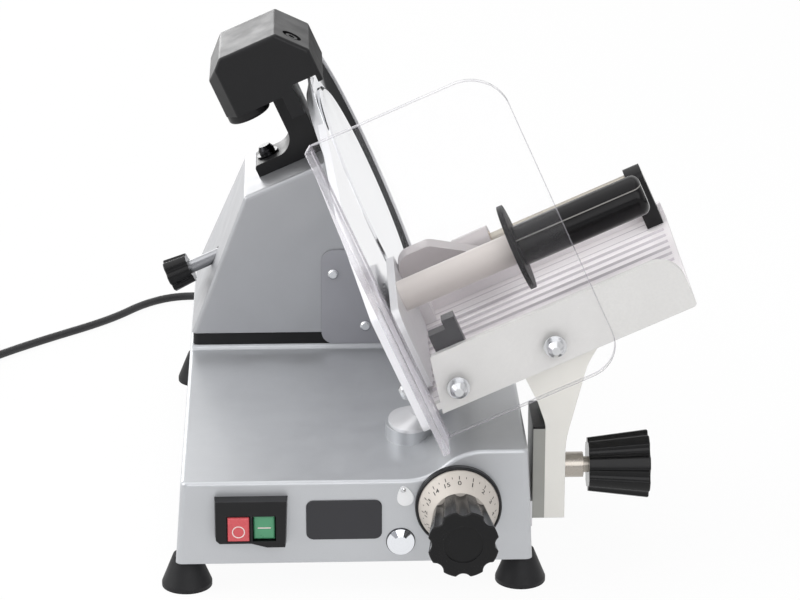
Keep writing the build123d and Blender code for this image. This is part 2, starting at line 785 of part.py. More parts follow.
def base_casting():
    shell = base_block()
    bosses = [bar_z(FOOT_BOSS_RADIUS, x, y, (UNDERSIDE, UNDERSIDE + FOOT_BOSS_HEIGHT)) & shell
              for x, y in foot_places()]
    cavity = along_y(base_face(WALL, UNDERSIDE - WALL), (FRONT + WALL, REAR - WALL)) - trough(WALL)
    shell += pedestal()
    pad = oval(STEM_SLOT_HALF + PAD_RIM, PAD_HALF_DEPTH, (DECK_HEIGHT - WALL, PAD_HEIGHT))
    shell += Pos(FOOT_PLATE_X, GAUGE_Y, 0) * pad
    shell -= cavity
    shell += bosses + base_bosses()
    shell -= trough(0.0)
    return shell - base_bores()


def underside_plate():
    x = about(0, BASE_WIDTH - 2 * (WALL + PLATE_MARGIN))
    y = about(0, BASE_DEPTH - 2 * (WALL + PLATE_MARGIN))
    plate = block(x, y, (UNDERSIDE, UNDERSIDE + PLATE_THICKNESS))
    for place in foot_places():
        plate -= bar_z(FOOT_BOSS_RADIUS + PLATE_MARGIN, *place, (0, DECK_HEIGHT))
    for place in lug_places():
        plate -= bar_z(PLATE_SCREW_RADIUS + SEAT, *place, (0, DECK_HEIGHT))
    return plate


def base_screws():
    """Screws of the feet and of the underside plate, heads down, as a list."""
    down = Rot(0, 90, 0)
    foot_screw = screw(FOOT_SCREW_HEAD, FOOT_SCREW_HEAD_HEIGHT, FOOT_BORE - RUN - SEAT, FOOT_SCREW_LENGTH)
    plate_screw = screw(PLATE_SCREW_HEAD, PLATE_SCREW_HEAD_HEIGHT, PLATE_SCREW_RADIUS, PLATE_SCREW_LENGTH)
    pieces = [Pos(x, y, FOOT_RECESS_DEPTH) * down * foot_screw for x, y in foot_places()]
    pieces += [Pos(x, y, UNDERSIDE) * down * plate_screw for x, y in lug_places()]
    return pieces


def rubber_feet():
    foot = upright(turned([
        (0, FOOT_RECESS), (0, FOOT_RADIUS), (FOOT_RIM, FOOT_RADIUS), (UNDERSIDE, FOOT_TOP_RADIUS),
        (UNDERSIDE, FOOT_BORE), (FOOT_RECESS_DEPTH, FOOT_BORE), (FOOT_RECESS_DEPTH, FOOT_RECESS),
    ]))
    return Compound(children=[Pos(x, y, 0) * foot for x, y in foot_places()])


# Switch


def button_x(side):
    return SWITCH_X + side * BUTTON_PITCH / 2


def switch_housing():
    """Bezel on the panel and body behind it, with one well for each button."""
    half = SWITCH_WIDTH / 2
    top = SWITCH_HEIGHT / 2
    outline = profile([
        (-half, top), (half, top), (half - EDGE_RADIUS / 2, -top - SWITCH_LOBE),
        (half - EDGE_RADIUS / 2 - SWITCH_LOBE_WIDTH, -top - SWITCH_LOBE),
        (half - SWITCH_LOBE_WIDTH - 4 * SWITCH_LOBE, -top), (-half + EDGE_RADIUS, -top),
        (-half, -top + EDGE_RADIUS),
    ])
    bezel = Pos(SWITCH_X, FRONT, SWITCH_Z) * extrude(Plane.XZ * outline, SWITCH_OUT, taper=SWITCH_TAPER)
    body_x, body_z = switch_cutout(0.0)
    shape = bezel + block(body_x, (FRONT, FRONT + SWITCH_BODY_DEPTH), body_z)
    well_floor = FRONT + BUTTON_ROOT + BUTTON_TRAVEL + GAP
    for side in (-1, 1):
        well_x = about(button_x(side), BUTTON_WIDTH + 2 * BUTTON_GAP)
        well_z = about(BUTTON_Z, BUTTON_HEIGHT + 2 * BUTTON_GAP)
        shape -= block(well_x, (FRONT - 2 * SWITCH_OUT, well_floor), well_z)
    return shape


def push_button(side, out):
    cap = block(about(button_x(side), BUTTON_WIDTH), (FRONT - out, FRONT + BUTTON_ROOT),
                about(BUTTON_Z, BUTTON_HEIGHT))
    return fillet(cap.faces().sort_by(Axis.Y)[0].edges(), BUTTON_EDGE)


# Dial and gauge mechanism


def dial_ring():
    return on_panel(turned([
        (0, DIAL_RING_BORE), (0, DIAL_RING_RADIUS), (DIAL_RING_HEIGHT - 1, DIAL_RING_RADIUS),
        (DIAL_RING_HEIGHT, DIAL_RING_RADIUS - 1), (DIAL_RING_HEIGHT, DIAL_RING_BORE),
    ]), DIAL_X, DIAL_Z)


def dial_scale():
    """Hollow cone on the shaft that carries the numbers and meets the knob."""
    floor = SCALE_BACK + SCALE_THICKNESS
    return on_panel(turned([
        (SCALE_BACK, SHAFT_RADIUS + SEAT), (SCALE_BACK, SCALE_RADIUS), (SCALE_BACK + SCALE_RIM, SCALE_RADIUS),
        (DIAL_KNOB_BACK, SCALE_TOP_RADIUS), (DIAL_KNOB_BACK, SCALE_TOP_RADIUS - SCALE_WALL),
        (floor, SCALE_RADIUS - SCALE_WALL), (floor, SHAFT_RADIUS + SEAT),
    ]), DIAL_X, DIAL_Z)


def dial_knob():
    face = DIAL_KNOB_BACK + KNOB_LENGTH
    knob = Pos(DIAL_KNOB_BACK, 0, 0) * lobed_knob(
        KNOB_RADIUS, KNOB_BACK_RADIUS, KNOB_LENGTH, KNOB_LOBES, KNOB_FLUTE, KNOB_FLUTE_CENTRE)
    knob += tube(SHAFT_RADIUS + SEAT, DIAL_HUB_RADIUS, (SCALE_BACK + SCALE_THICKNESS, DIAL_KNOB_BACK + 1))
    knob -= bar_x(SHAFT_RADIUS + SEAT, (0, SHAFT_OUT), 0, 0)
    knob -= bar_x(KNOB_DISH_RADIUS, (face - KNOB_DISH_DEPTH, face + 1), 0, 0)
    return on_panel(knob, DIAL_X, DIAL_Z)


def cam_point(turn, offset):
    """Point of the cam groove that meets the pin after a turn of the dial, in (x, z)."""
    radius = CAM_START + GAUGE_TRAVEL * turn / DIAL_TURN + offset
    angle = radians(180 - turn)
    return (DIAL_X + radius * cos(angle), DIAL_Z + radius * sin(angle))


def cam_groove():
    """Spiral groove: an outline of arcs on each side and a round end at each stop."""
    half = PIN_RADIUS + PIN_PLAY
    step = DIAL_TURN / CAM_STEPS
    edges = []
    for offset in (-half, half):
        for index in range(CAM_STEPS):
            turns = (index * step, (index + 0.5) * step, (index + 1) * step)
            edges.append(ThreePointArc(*[cam_point(turn, offset) for turn in turns]))
    for turn in (0, DIAL_TURN):
        edges.append(Line(cam_point(turn, -half), cam_point(turn, half)))
    ends = [Pos(*cam_point(turn, 0)) * Circle(half) for turn in (0, DIAL_TURN)]
    rear = FRONT + CAM_SETBACK + CAM_THICKNESS
    return along_y(make_face(edges) + ends, (rear - CAM_GROOVE_DEPTH, rear + 1))


def dial_cam_shaft():
    shaft = turned([
        (-CAM_SETBACK - CAM_THICKNESS, 0), (-CAM_SETBACK - CAM_THICKNESS, CAM_RADIUS),
        (-CAM_SETBACK, CAM_RADIUS),
        (-CAM_SETBACK, SHAFT_RADIUS), (SHAFT_OUT, SHAFT_RADIUS), (SHAFT_OUT, 0),
    ])
    return on_panel(shaft, DIAL_X, DIAL_Z) - cam_groove()


def gauge_slide_rod():
    return bar_x(GAUGE_ROD_RADIUS, GAUGE_ROD_SPAN, GAUGE_Y, GAUGE_ROD_Z)


def gauge_slide_block():
    """Block on the cross rod with an arm and pin that reach into the cam groove."""
    y = about(GAUGE_Y, SLIDE_BLOCK_DEPTH)
    arm_front = FRONT + PIN_ARM_FRONT
    pin_tip = FRONT + CAM_SETBACK + CAM_THICKNESS - CAM_GROOVE_DEPTH + GAP
    body = block(SLIDE_BLOCK_SPAN, y, SLIDE_BLOCK_HEIGHT)
    body += block(about(PIN_X, PIN_ARM_WIDTH), (arm_front, y[0] + WALL), about(DIAL_Z, PIN_ARM_HEIGHT))
    body += bar_y(PIN_RADIUS, PIN_X, (pin_tip, arm_front + 1), DIAL_Z)
    return body - bar_x(GAUGE_ROD_RADIUS + RUN, SLIDE_BLOCK_SPAN, GAUGE_Y, GAUGE_ROD_Z)


def gauge_backing_span():
    back = GAUGE_FACE - GAUGE_THICKNESS
    return (back - GAUGE_BACKING, back)


def gauge_support():
    """Foot, stem and backing block that carry the gauge plate."""
    stem_x = (STEM_SPAN[0] + STEM_SPAN[1]) / 2
    stem = block(STEM_SPAN, about(GAUGE_Y, STEM_DEPTH), (SLIDE_BLOCK_HEIGHT[1], STEM_TOP))
    beyond = (gauge_backing_span()[1], 2 * GAUGE_FACE)
    stem -= tilted(block(beyond, (FRONT, REAR), (-GAUGE_TOP, GAUGE_TOP)))
    foot_z = (PAD_HEIGHT + GAP, PAD_HEIGHT + GAP + FOOT_PLATE_HEIGHT)
    half_width = STEM_SLOT_HALF + FOOT_PLATE_MARGIN
    stem += Pos(FOOT_PLATE_X, GAUGE_Y, 0) * oval(half_width, FOOT_PLATE_HALF_DEPTH, foot_z)
    low = Pos(FOOT_PLATE_X, GAUGE_Y, foot_z[1]) * Ellipse(half_width, FOOT_PLATE_HALF_DEPTH)
    top = foot_z[1] + FOOT_CONE_RISE
    high = Pos(stem_x, GAUGE_Y, top) * Ellipse(FOOT_CONE_HALF_WIDTH, FOOT_CONE_HALF_DEPTH)
    stem += loft([low, high])
    backing_y = about(GAUGE_Y, GAUGE_BACKING_DEPTH)
    backing = block(gauge_backing_span(), backing_y, (GAUGE_BOTTOM, GAUGE_BACKING_TOP))
    shape = stem + tilted(backing)
    for place in gauge_bolt_places():
        shape -= tilted(bar_x(GAUGE_BOLT_RADIUS + SEAT, gauge_backing_span(), *place))
    return shape


def gauge_bolt_places():
    return [(GAUGE_Y + side * GAUGE_BOLT_SPACING / 2, GAUGE_BOLT_M) for side in (-1, 1)]


def gauge_plate():
    """Flat plate in front of the blade with a rear edge round it."""
    reach = BLADE_RADIUS + GAUGE_ARC_GAP
    front = FRONT + GAUGE_FRONT_SETBACK
    bottom = (BLADE_Y - sqrt(reach ** 2 - (BLADE_M - GAUGE_BOTTOM) ** 2), GAUGE_BOTTOM)
    top = (BLADE_Y - sqrt(reach ** 2 - (GAUGE_ARC_TOP - BLADE_M) ** 2), GAUGE_ARC_TOP)
    brow = (FRONT + GAUGE_BROW_SETBACK, GAUGE_BROW)
    rear = (HEAD + GAUGE_TOP_REAR, GAUGE_TOP)
    sides = Polyline(bottom, (front, GAUGE_BOTTOM), (front, GAUGE_SHOULDER), brow, rear, top)
    arc = ThreePointArc(top, (BLADE_Y - reach, BLADE_M), bottom)
    face = make_face([*sides.edges(), arc])
    front_corners = face.vertices().sort_by(Axis.X)[:2]
    face = fillet(front_corners, GAUGE_CORNER)
    plate = along_x(face, (GAUGE_FACE - GAUGE_THICKNESS, GAUGE_FACE))
    back = gauge_backing_span()[1]
    depth = GAUGE_BOLT_LENGTH - GAUGE_BACKING
    for place in gauge_bolt_places():
        plate -= bar_x(GAUGE_BOLT_RADIUS + SEAT, (back, back + depth), *place)
    return tilted(plate)


def gauge_bolts():
    plain = screw(GAUGE_BOLT_HEAD, GAUGE_BOLT_HEAD_HEIGHT, GAUGE_BOLT_RADIUS, GAUGE_BOLT_LENGTH)
    bolt = Rot(0, 0, 180) * plain
    back = gauge_backing_span()[0]
    return Compound(children=[tilted(Pos(back, *place) * bolt) for place in gauge_bolt_places()])


# Carriage


def carriage_slide_rod():
    length = BASE_DEPTH - GUIDE_BAR_INSET
    return on_panel(turned([
        (-length, 0), (-length, SLIDE_ROD_RADIUS), (0, SLIDE_ROD_RADIUS), (0, SLIDE_ROD_CAP),
        (SLIDE_ROD_DOME / 2, SLIDE_ROD_CAP), (SLIDE_ROD_DOME, SLIDE_ROD_CAP / 2), (SLIDE_ROD_DOME, 0),
    ]), SLIDE_ROD_X, SLIDE_ROD_Z)


def guide_bar():
    y = (FRONT + GUIDE_BAR_INSET, REAR - GUIDE_BAR_INSET)
    return bar_y(GUIDE_BAR_RADIUS, GUIDE_BAR_X, y, GUIDE_BAR_Z)


def bush_spans():
    return ((CARRIAGE_FRONT, CARRIAGE_FRONT + BUSH_LENGTH), (CARRIAGE_BACK - BUSH_LENGTH, CARRIAGE_BACK))


def slider_foot():
    """Block on the slide rod with a neck out through the side of the base."""
    y = (CARRIAGE_FRONT, CARRIAGE_BACK)
    body = block(SLIDER_SPAN, y, SLIDER_HEIGHT) + block((SLIDER_SPAN[1], BRACKET_LEFT), y, NECK_HEIGHT)
    body -= bar_y(SLIDE_ROD_RADIUS + GAP, SLIDE_ROD_X, y, SLIDE_ROD_Z)
    for span in bush_spans():
        body -= bar_y(SLIDE_ROD_RADIUS + BUSH_WALL + SEAT, SLIDE_ROD_X, span, SLIDE_ROD_Z)
    body -= bar_y(GUIDE_BAR_RADIUS + GAP, GUIDE_BAR_X, y, GUIDE_BAR_Z)
    shoe = about(CARRIAGE_MIDDLE, SHOE_LENGTH)
    return body - bar_y(GUIDE_BAR_RADIUS + BUSH_WALL + SEAT, GUIDE_BAR_X, shoe, GUIDE_BAR_Z)


def slider_bushes():
    turn = Rot(0, 0, 90)
    bushes = []
    for span in bush_spans():
        ring = tube(SLIDE_ROD_RADIUS + RUN, SLIDE_ROD_RADIUS + BUSH_WALL, span)
        bushes.append(Pos(SLIDE_ROD_X, 0, SLIDE_ROD_Z) * turn * ring)
    shoe = tube(GUIDE_BAR_RADIUS + RUN, GUIDE_BAR_RADIUS + BUSH_WALL, about(CARRIAGE_MIDDLE, SHOE_LENGTH))
    bushes.append(Pos(GUIDE_BAR_X, 0, GUIDE_BAR_Z) * turn * shoe)
    return Compound(children=bushes)


def arm_bracket():
    plate = block((BRACKET_LEFT, ARM_LEFT), (CARRIAGE_FRONT, CARRIAGE_BACK), BRACKET_HEIGHT)
    return plate - bar_x(STUD_RADIUS + RUN, (ARM_LEFT - STUD_BITE, ARM_LEFT), CARRIAGE_MIDDLE, STUD_Z)


def carriage_arm():
    """Upright arm that bends to meet the underside of the leaning tray."""
    seat = TRAY_UNDERSIDE - TRAY_PAD
    foot = BRACKET_HEIGHT[0]
    points = [
        (ARM_LEFT, foot), (ARM_LEFT, ARM_LEFT_TOP),
        (ARM_LEFT - ARM_LEAN_LEFT, ARM_LEFT_TOP + ARM_LEAN_HEIGHT),
        leaned(ARM_HEAD[0], seat), leaned(ARM_HEAD[1], seat),
        (ARM_RIGHT + ARM_REACH, ARM_RIGHT_TOP + ARM_REACH_HEIGHT), (ARM_RIGHT, ARM_RIGHT_TOP),
        (ARM_RIGHT, foot),
    ]
    radii = (0, ARM_BEND_LEFT, ARM_BEND_LEFT, 0, 0, ARM_BEND, 2 * ARM_BEND, 0)
    arm = along_y(rounded(points, radii), (CARRIAGE_FRONT, CARRIAGE_BACK))
    return arm - bar_x(STUD_RADIUS + STUD_PLAY, (ARM_LEFT, ARM_RIGHT), CARRIAGE_MIDDLE, STUD_Z)


def knob_seat():
    """Where the clamp knob starts along X."""
    return ARM_RIGHT + GAP + STUD_COLLAR_LENGTH + STUD_NECK_LENGTH


def clamp_stud():
    start = ARM_LEFT - STUD_BITE + GAP
    collar = ARM_RIGHT + GAP
    stud = turned([
        (start, 0), (start, STUD_RADIUS), (collar, STUD_RADIUS), (collar, STUD_COLLAR),
        (collar + STUD_COLLAR_LENGTH, STUD_COLLAR), (collar + STUD_COLLAR_LENGTH, STUD_NECK),
        (knob_seat() + STUD_GRIP, STUD_NECK), (knob_seat() + STUD_GRIP, 0),
    ])
    return Pos(0, CARRIAGE_MIDDLE, STUD_Z) * stud


def clamp_knob():
    knob = lobed_knob(KNOB_RADIUS, KNOB_BACK_RADIUS, KNOB_LENGTH, KNOB_LOBES, KNOB_FLUTE, KNOB_FLUTE_CENTRE)
    knob -= bar_x(STUD_NECK + SEAT, (0, STUD_GRIP), 0, 0)
    knob -= bar_x(KNOB_DISH_RADIUS, (KNOB_LENGTH - KNOB_DISH_DEPTH, KNOB_LENGTH + 1), 0, 0)
    return Pos(knob_seat(), CARRIAGE_MIDDLE, STUD_Z) * knob


# Food tray and hand guard


def tray_front_wall():
    points = [
        (TRAY_WALL_LEFT, TRAY_UNDERSIDE - TRAY_PAD), (TRAY_WALL_LEFT + TRAY_WALL_SLANT, TRAY_WALL_TOP),
        (TRAY_END, TRAY_WALL_TOP), (TRAY_END, TRAY_UNDERSIDE - TRAY_PAD),
    ]
    wall = rounded(points, (0, EDGE_RADIUS, TRAY_WALL_CORNER, EDGE_RADIUS))
    return along_y(wall, (TRAY_FRONT, TRAY_FRONT + TRAY_WALL))


def tray_ridges():
    """Ridges along the slide of the food, spaced from the front wall to the pusher rod's posts."""
    start = TRAY_FRONT + TRAY_WALL + RIDGE_MARGIN
    end = PUSH_ROD_Y - ROD_LUG_HALF - RIDGE_WIDTH
    count = int((end - start) // RIDGE_PITCH) + 1
    x = (TRAY_START + RIDGE_END, TRAY_END - RIDGE_END)
    ridges = []
    for index in range(count):
        y = start + index * RIDGE_PITCH
        ridges.append(along_x(profile([
            (y - RIDGE_WIDTH / 2, TRAY_TOP - 1), (y - RIDGE_WIDTH / 2, TRAY_TOP),
            (y - RIDGE_CREST / 2, TRAY_TOP + RIDGE_HEIGHT), (y + RIDGE_CREST / 2, TRAY_TOP + RIDGE_HEIGHT),
            (y + RIDGE_WIDTH / 2, TRAY_TOP), (y + RIDGE_WIDTH / 2, TRAY_TOP - 1),
        ]), x))
    return ridges


def rod_mount(span):
    """Post with a round top that holds one end of the pusher rod."""
    post = block(span, about(PUSH_ROD_Y, 2 * ROD_LUG_HALF), (TRAY_TOP, PUSH_ROD_M))
    post += bar_x(ROD_LUG_HALF, span, PUSH_ROD_Y, PUSH_ROD_M)
    return post - bar_x(PUSH_ROD_RADIUS + SEAT, span, PUSH_ROD_Y, PUSH_ROD_M)


def food_tray():
    y = (TRAY_FRONT, TRAY_BACK)
    tray = block((TRAY_START, TRAY_END), y, (TRAY_UNDERSIDE, TRAY_TOP)) + tray_front_wall()
    tray += block((TRAY_START, TRAY_END), (TRAY_BACK - TRAY_WALL, TRAY_BACK), (TRAY_UNDERSIDE, TRAY_LIP_TOP))
    tray += block(ARM_HEAD, (CARRIAGE_FRONT, CARRIAGE_BACK), (TRAY_UNDERSIDE - TRAY_PAD, TRAY_UNDERSIDE))
    tray += tray_ridges()
    tray += rod_mount(ROD_LUG_SPAN)
    for n in GUARD_BOLT_SPAN:
        tray -= bar_y(GUARD_BOLT_RADIUS + SEAT, n, (TRAY_FRONT, TRAY_FRONT + TRAY_WALL), GUARD_BOLT_M)
    return tilted(tray)


def tray_block():
    """Stepped block on the inner face of the tray's front wall."""
    y = (TRAY_FRONT + TRAY_WALL, TRAY_FRONT + TRAY_WALL + TRAY_BLOCK_DEPTH)
    low, high = TRAY_BLOCK_HEIGHT
    left, right = TRAY_BLOCK_SPAN
    step = right - TRAY_BLOCK_STEP
    face = profile([
        (left, low), (left, high), (step, high), (step, high + TRAY_BLOCK_STEP_RISE),
        (right, high + TRAY_BLOCK_STEP_RISE), (right, low),
    ])
    return tilted(chamfer(along_y(face, y).faces().sort_by(Axis.Y)[-1].edges(), TRAY_BLOCK_EDGE))


def hand_guard():
    """Clear sheet in front of the tray with a flange bent towards the operator."""
    y = guard_span()
    front = y[1] - GUARD_FLANGE
    sheet = rounded(
        [(GUARD_START, GUARD_BOTTOM), (GUARD_START, GUARD_FLANGE_TOP),
         (GUARD_START + GUARD_THICKNESS, GUARD_TOP),
         (GUARD_END, GUARD_TOP), (GUARD_END, GUARD_BOTTOM)],
        (0, 0, 0, GUARD_TOP_RADIUS, GUARD_BOTTOM_RADIUS))
    guard = along_y(sheet, y)
    flange_x = (GUARD_START, GUARD_START + GUARD_THICKNESS)
    guard += block(flange_x, (front, y[1]), (GUARD_BOTTOM, GUARD_FLANGE_TOP))
    bend = guard.edges().filter_by(lambda edge: is_bend(edge))
    guard = fillet(bend, GUARD_THICKNESS * 0.8)
    taper = profile([
        (front, GUARD_FLANGE_SHOULDER), (front, GUARD_TOP), (y[0], GUARD_TOP), (y[0], GUARD_FLANGE_REACH),
    ])
    guard -= along_x(taper, flange_x)
    for n in GUARD_BOLT_SPAN:
        guard -= bar_y(GUARD_BOLT_RADIUS + SEAT, n, y, GUARD_BOLT_M)
    return tilted(guard)


def guard_span():
    back = TRAY_FRONT - GUARD_STANDOFF
    return back - GUARD_THICKNESS, back


def is_bend(edge):
    """True for the outer and inner upright edges of the guard's bend."""
    centre = edge.center()
    tall = edge.bounding_box().size.Z > (GUARD_TOP - GUARD_BOTTOM) / 2
    outer = abs(centre.X - GUARD_START) < GAP and abs(centre.Y - guard_span()[1]) < GAP
    inner = (abs(centre.X - GUARD_START - GUARD_THICKNESS) < GAP
             and abs(centre.Y - guard_span()[0]) < GAP)
    return tall and (outer or inner)


def guard_fasteners():
    """Bolts through the tray wall and guard, each with a washer and a dome nut in front."""
    seat = TRAY_FRONT + TRAY_WALL - guard_span()[0]
    tail = seat + WASHER_THICKNESS + GUARD_BOLT_TAIL
    bolt = screw(GUARD_BOLT_HEAD, GUARD_BOLT_HEAD_HEIGHT, GUARD_BOLT_RADIUS, tail)
    washer = tube(GUARD_BOLT_RADIUS + SEAT, WASHER_RADIUS, (-seat - WASHER_THICKNESS, -seat))
    nut_seat = -seat - WASHER_THICKNESS
    nut_face = nut_seat - NUT_HEIGHT
    nut = turned([
        (nut_seat, GUARD_BOLT_RADIUS + SEAT), (nut_seat, NUT_RADIUS), (nut_face, NUT_RADIUS),
        (nut_face - NUT_DOME, NUT_RADIUS / 2), (nut_face - NUT_DOME, 0), (-tail - GAP, 0),
        (-tail - GAP, GUARD_BOLT_RADIUS + SEAT),
    ])
    pieces = []
    for n in GUARD_BOLT_SPAN:
        place = Pos(n, TRAY_FRONT + TRAY_WALL, GUARD_BOLT_M) * Rot(0, 0, 90)
        pieces += [tilted(place * piece) for piece in (bolt, washer, nut)]
    return Compound(children=pieces)


# Pusher


def pusher_rod():
    return tilted(bar_x(PUSH_ROD_RADIUS, (ROD_LUG_SPAN[0], ROD_BLOCK_SPAN[1]), PUSH_ROD_Y, PUSH_ROD_M))


def pusher_liner():
    ring = tube(PUSH_ROD_RADIUS + RUN, PUSH_ROD_RADIUS + LINER_WALL, PUSHER_BUSH_SPAN)
    return tilted(Pos(0, PUSH_ROD_Y, PUSH_ROD_M) * ring)


def pusher_arm():
    """Bush on the liner and an arched arm to the back of the pusher plate."""
    liner = PUSH_ROD_RADIUS + LINER_WALL + RUN
    outer = liner + PUSHER_BUSH_WALL
    back = PUSHER_FACE + PUSHER_THICKNESS
    rear = PUSHER_Y[1]
    y = (rear - PUSHER_ARM_DEPTH, rear)
    top = PUSHER_HEIGHT[1]
    low = top - PUSHER_ARM_LEG
    end = PUSHER_BUSH_SPAN[1]
    arch = rounded(
        [(back, low), (back, top), (PUSHER_ARM_TURN, top), (end, PUSH_ROD_M), (end, PUSH_ROD_M - outer),
         (PUSHER_BUSH_SPAN[0], PUSH_ROD_M - outer), (PUSHER_BUSH_SPAN[0] - PUSHER_ARM_WEB, low)],
        (0, PUSHER_ARM_CROWN, PUSHER_ARM_CROWN, 0, 0, 0, PUSHER_ARM_CROWN))
    arm = along_y(arch, y)
    arm += block(PUSHER_BUSH_SPAN, (y[0], PUSH_ROD_Y), (PUSH_ROD_M - outer, PUSH_ROD_M))
    arm += bar_x(outer, PUSHER_BUSH_SPAN, PUSH_ROD_Y, PUSH_ROD_M)
    return tilted(arm - bar_x(liner, PUSHER_BUSH_SPAN, PUSH_ROD_Y, PUSH_ROD_M))


def pusher_plate():
    """Plate behind the food with rows of teeth on its face."""
    y = PUSHER_Y
    low, high = PUSHER_HEIGHT
    corners = [(y[0], low), (y[0], high), (y[1], high), (y[1], low)]
    face = rounded(corners, (PUSHER_CORNER / 2, 2 * PUSHER_CORNER, PUSHER_CORNER, PUSHER_CORNER))
    plate = along_x(face, (PUSHER_FACE, PUSHER_FACE + PUSHER_THICKNESS))
    m = (low + TOOTH_MARGIN, high - TOOTH_MARGIN)
    count = int((y[1] - y[0] - 2 * TOOTH_MARGIN) // TOOTH_PITCH) + 1
    for index in range(count):
        middle = y[0] + TOOTH_MARGIN + index * TOOTH_PITCH
        tooth = profile([
            (PUSHER_FACE + 1, middle - TOOTH_WIDTH), (PUSHER_FACE - TOOTH_HEIGHT, middle),
            (PUSHER_FACE + 1, middle + TOOTH_WIDTH),
        ])
        plate += Pos(0, 0, m[0]) * extrude(tooth, m[1] - m[0])
    return tilted(plate)


def pusher_sleeve():
    start = PUSHER_FACE + PUSHER_THICKNESS
    return tilted(bar_x(SLEEVE_RADIUS, (start, SLEEVE_END), HANDLE_Y, HANDLE_M))


def pusher_grip():
    grip = turned([
        (SLEEVE_END, 0), (SLEEVE_END, GRIP_FLANGE_RADIUS), (SLEEVE_END + GRIP_FLANGE, GRIP_FLANGE_RADIUS),
        (SLEEVE_END + GRIP_FLANGE, GRIP_RADIUS), (GRIP_END, GRIP_RADIUS), (GRIP_END, 0),
    ])
    end = grip.faces().sort_by(Axis.X)[-1].edges()
    grip = fillet(end, GRIP_ROUND)
    return tilted(Pos(0, HANDLE_Y, HANDLE_M) * grip)


# Upper housing


def housing_face():
    return profile([
        (HOUSING_LEFT, HOUSING_FLOOR), (face_x(HOUSING_FACE, HOUSING_FLOOR), HOUSING_FLOOR),
        leaned(HOUSING_FACE, HOUSING_TOP), leaned(HOUSING_TOP_LEFT, HOUSING_TOP),
    ])


def rear_slope(inset):
    """What lies behind the sloping back of the housing, brought in by a wall."""
    run = HOUSING_BACK_SETBACK - HOUSING_TOP_REAR
    drop = HOUSING_TOP - HOUSING_SLOPE_FOOT
    length = sqrt(run ** 2 + drop ** 2)
    y = HEAD + HOUSING_TOP_REAR - inset * drop / length
    m = HOUSING_TOP - inset * run / length
    far = y + 4 * run
    points = [(y - run, m + drop), (y + 2 * run, m - 2 * drop), (far, m - 2 * drop), (far, m + drop)]
    return tilted(along_x(profile(points), (-2 * BASE_WIDTH, 2 * BASE_WIDTH)))


def housing_inside():
    """Hollow of the housing, open below."""
    inner = offset(housing_face(), -HOUSING_WALL, kind=Kind.INTERSECTION)
    y = (HOUSING_FRONT + HOUSING_WALL, HOUSING_BACK - HOUSING_WALL)
    corners = inner.vertices().sort_by(Axis.Y)[:2].sort_by(Axis.X)
    mouth = block((corners[0].X, corners[1].X), y, (HOUSING_FLOOR - 1, HOUSING_FLOOR + HOUSING_WALL))
    return along_y(inner, y) + mouth - rear_slope(HOUSING_WALL)


def motor_web(inside):
    """Wall across the housing, with a tongue down to the motor."""
    n = (WEB_START, WEB_START + WEB_THICKNESS)
    wide = (-2 * BASE_WIDTH, 2 * BASE_WIDTH)
    above = block(wide, (HOUSING_FRONT, HOUSING_BACK), (HOUSING_FLOOR, 2 * HOUSING_TOP))
    web = tilted(block(n, (HOUSING_FRONT, HOUSING_BACK), (0, HOUSING_TOP))) & inside & above
    half = MOTOR_RADIUS - WEB_TONGUE_MARGIN
    tongue = block(n, (MOTOR_Y - half, MOTOR_Y + half), (MOTOR_M - MOTOR_RADIUS, MOTOR_M + half))
    return web + tilted(tongue)


def upper_housing():
    shell = along_y(housing_face(), (HOUSING_FRONT, HOUSING_BACK)) - rear_slope(0.0)
    outer_edges = shell.edges().filter_by(lambda edge: edge.bounding_box().max.Z > HOUSING_FLOOR + 1)
    shell = fillet(outer_edges, HOUSING_EDGE)
    inside = housing_inside()
    shell -= inside
    shell += motor_web(inside)
    web = (WEB_START - 1, WEB_START + WEB_THICKNESS + 1)
    wall = (HOUSING_FACE - 2 * HOUSING_WALL, HOUSING_FACE + 1)
    left = (-2 * BASE_WIDTH, WEB_START - 1)
    shell -= on_blade(bar_x(SPINDLE_RADIUS + SEAT, web, 0, 0))
    shell -= on_blade(bar_x(COVER_OPENING, wall, 0, 0))
    shell -= on_blade(bar_x(TIE_ROD_HOLE, left, 0, 0))
    shell -= on_motor(bar_x(2 * MOTOR_SHAFT_RADIUS, web, 0, 0))
    bolt = (HOUSING_TOP + BRACKET_FOOT_THICKNESS - BRACKET_BOLT_LENGTH, HOUSING_TOP + 1)
    shell -= tilted(bar_z(BRACKET_BOLT_RADIUS + SEAT, BRACKET_BOLT_OFFSET, bracket_bolt_y(), bolt))
    for x, z in DEFLECTOR_SCREWS:
        shell -= bar_y(DEFLECTOR_SCREW_RADIUS + SEAT, x, (HOUSING_FRONT - 1, HOUSING_FRONT + HOUSING_WALL), z)
    return shell


def housing_gasket():
    x = (HOUSING_LEFT + GASKET_INSET, face_x(HOUSING_FACE, HOUSING_FLOOR) - GASKET_INSET)
    y = (HOUSING_FRONT + GASKET_INSET, HOUSING_BACK - GASKET_INSET)
    z = (DECK_HEIGHT + PEDESTAL, HOUSING_FLOOR)
    ring = fillet(block(x, y, z).edges().filter_by(Axis.Z), HOUSING_EDGE)
    hole_x = (x[0] + GASKET_WIDTH, x[1] - GASKET_WIDTH)
    hole_y = (y[0] + GASKET_WIDTH, y[1] - GASKET_WIDTH)
    return ring - block(hole_x, hole_y, z)


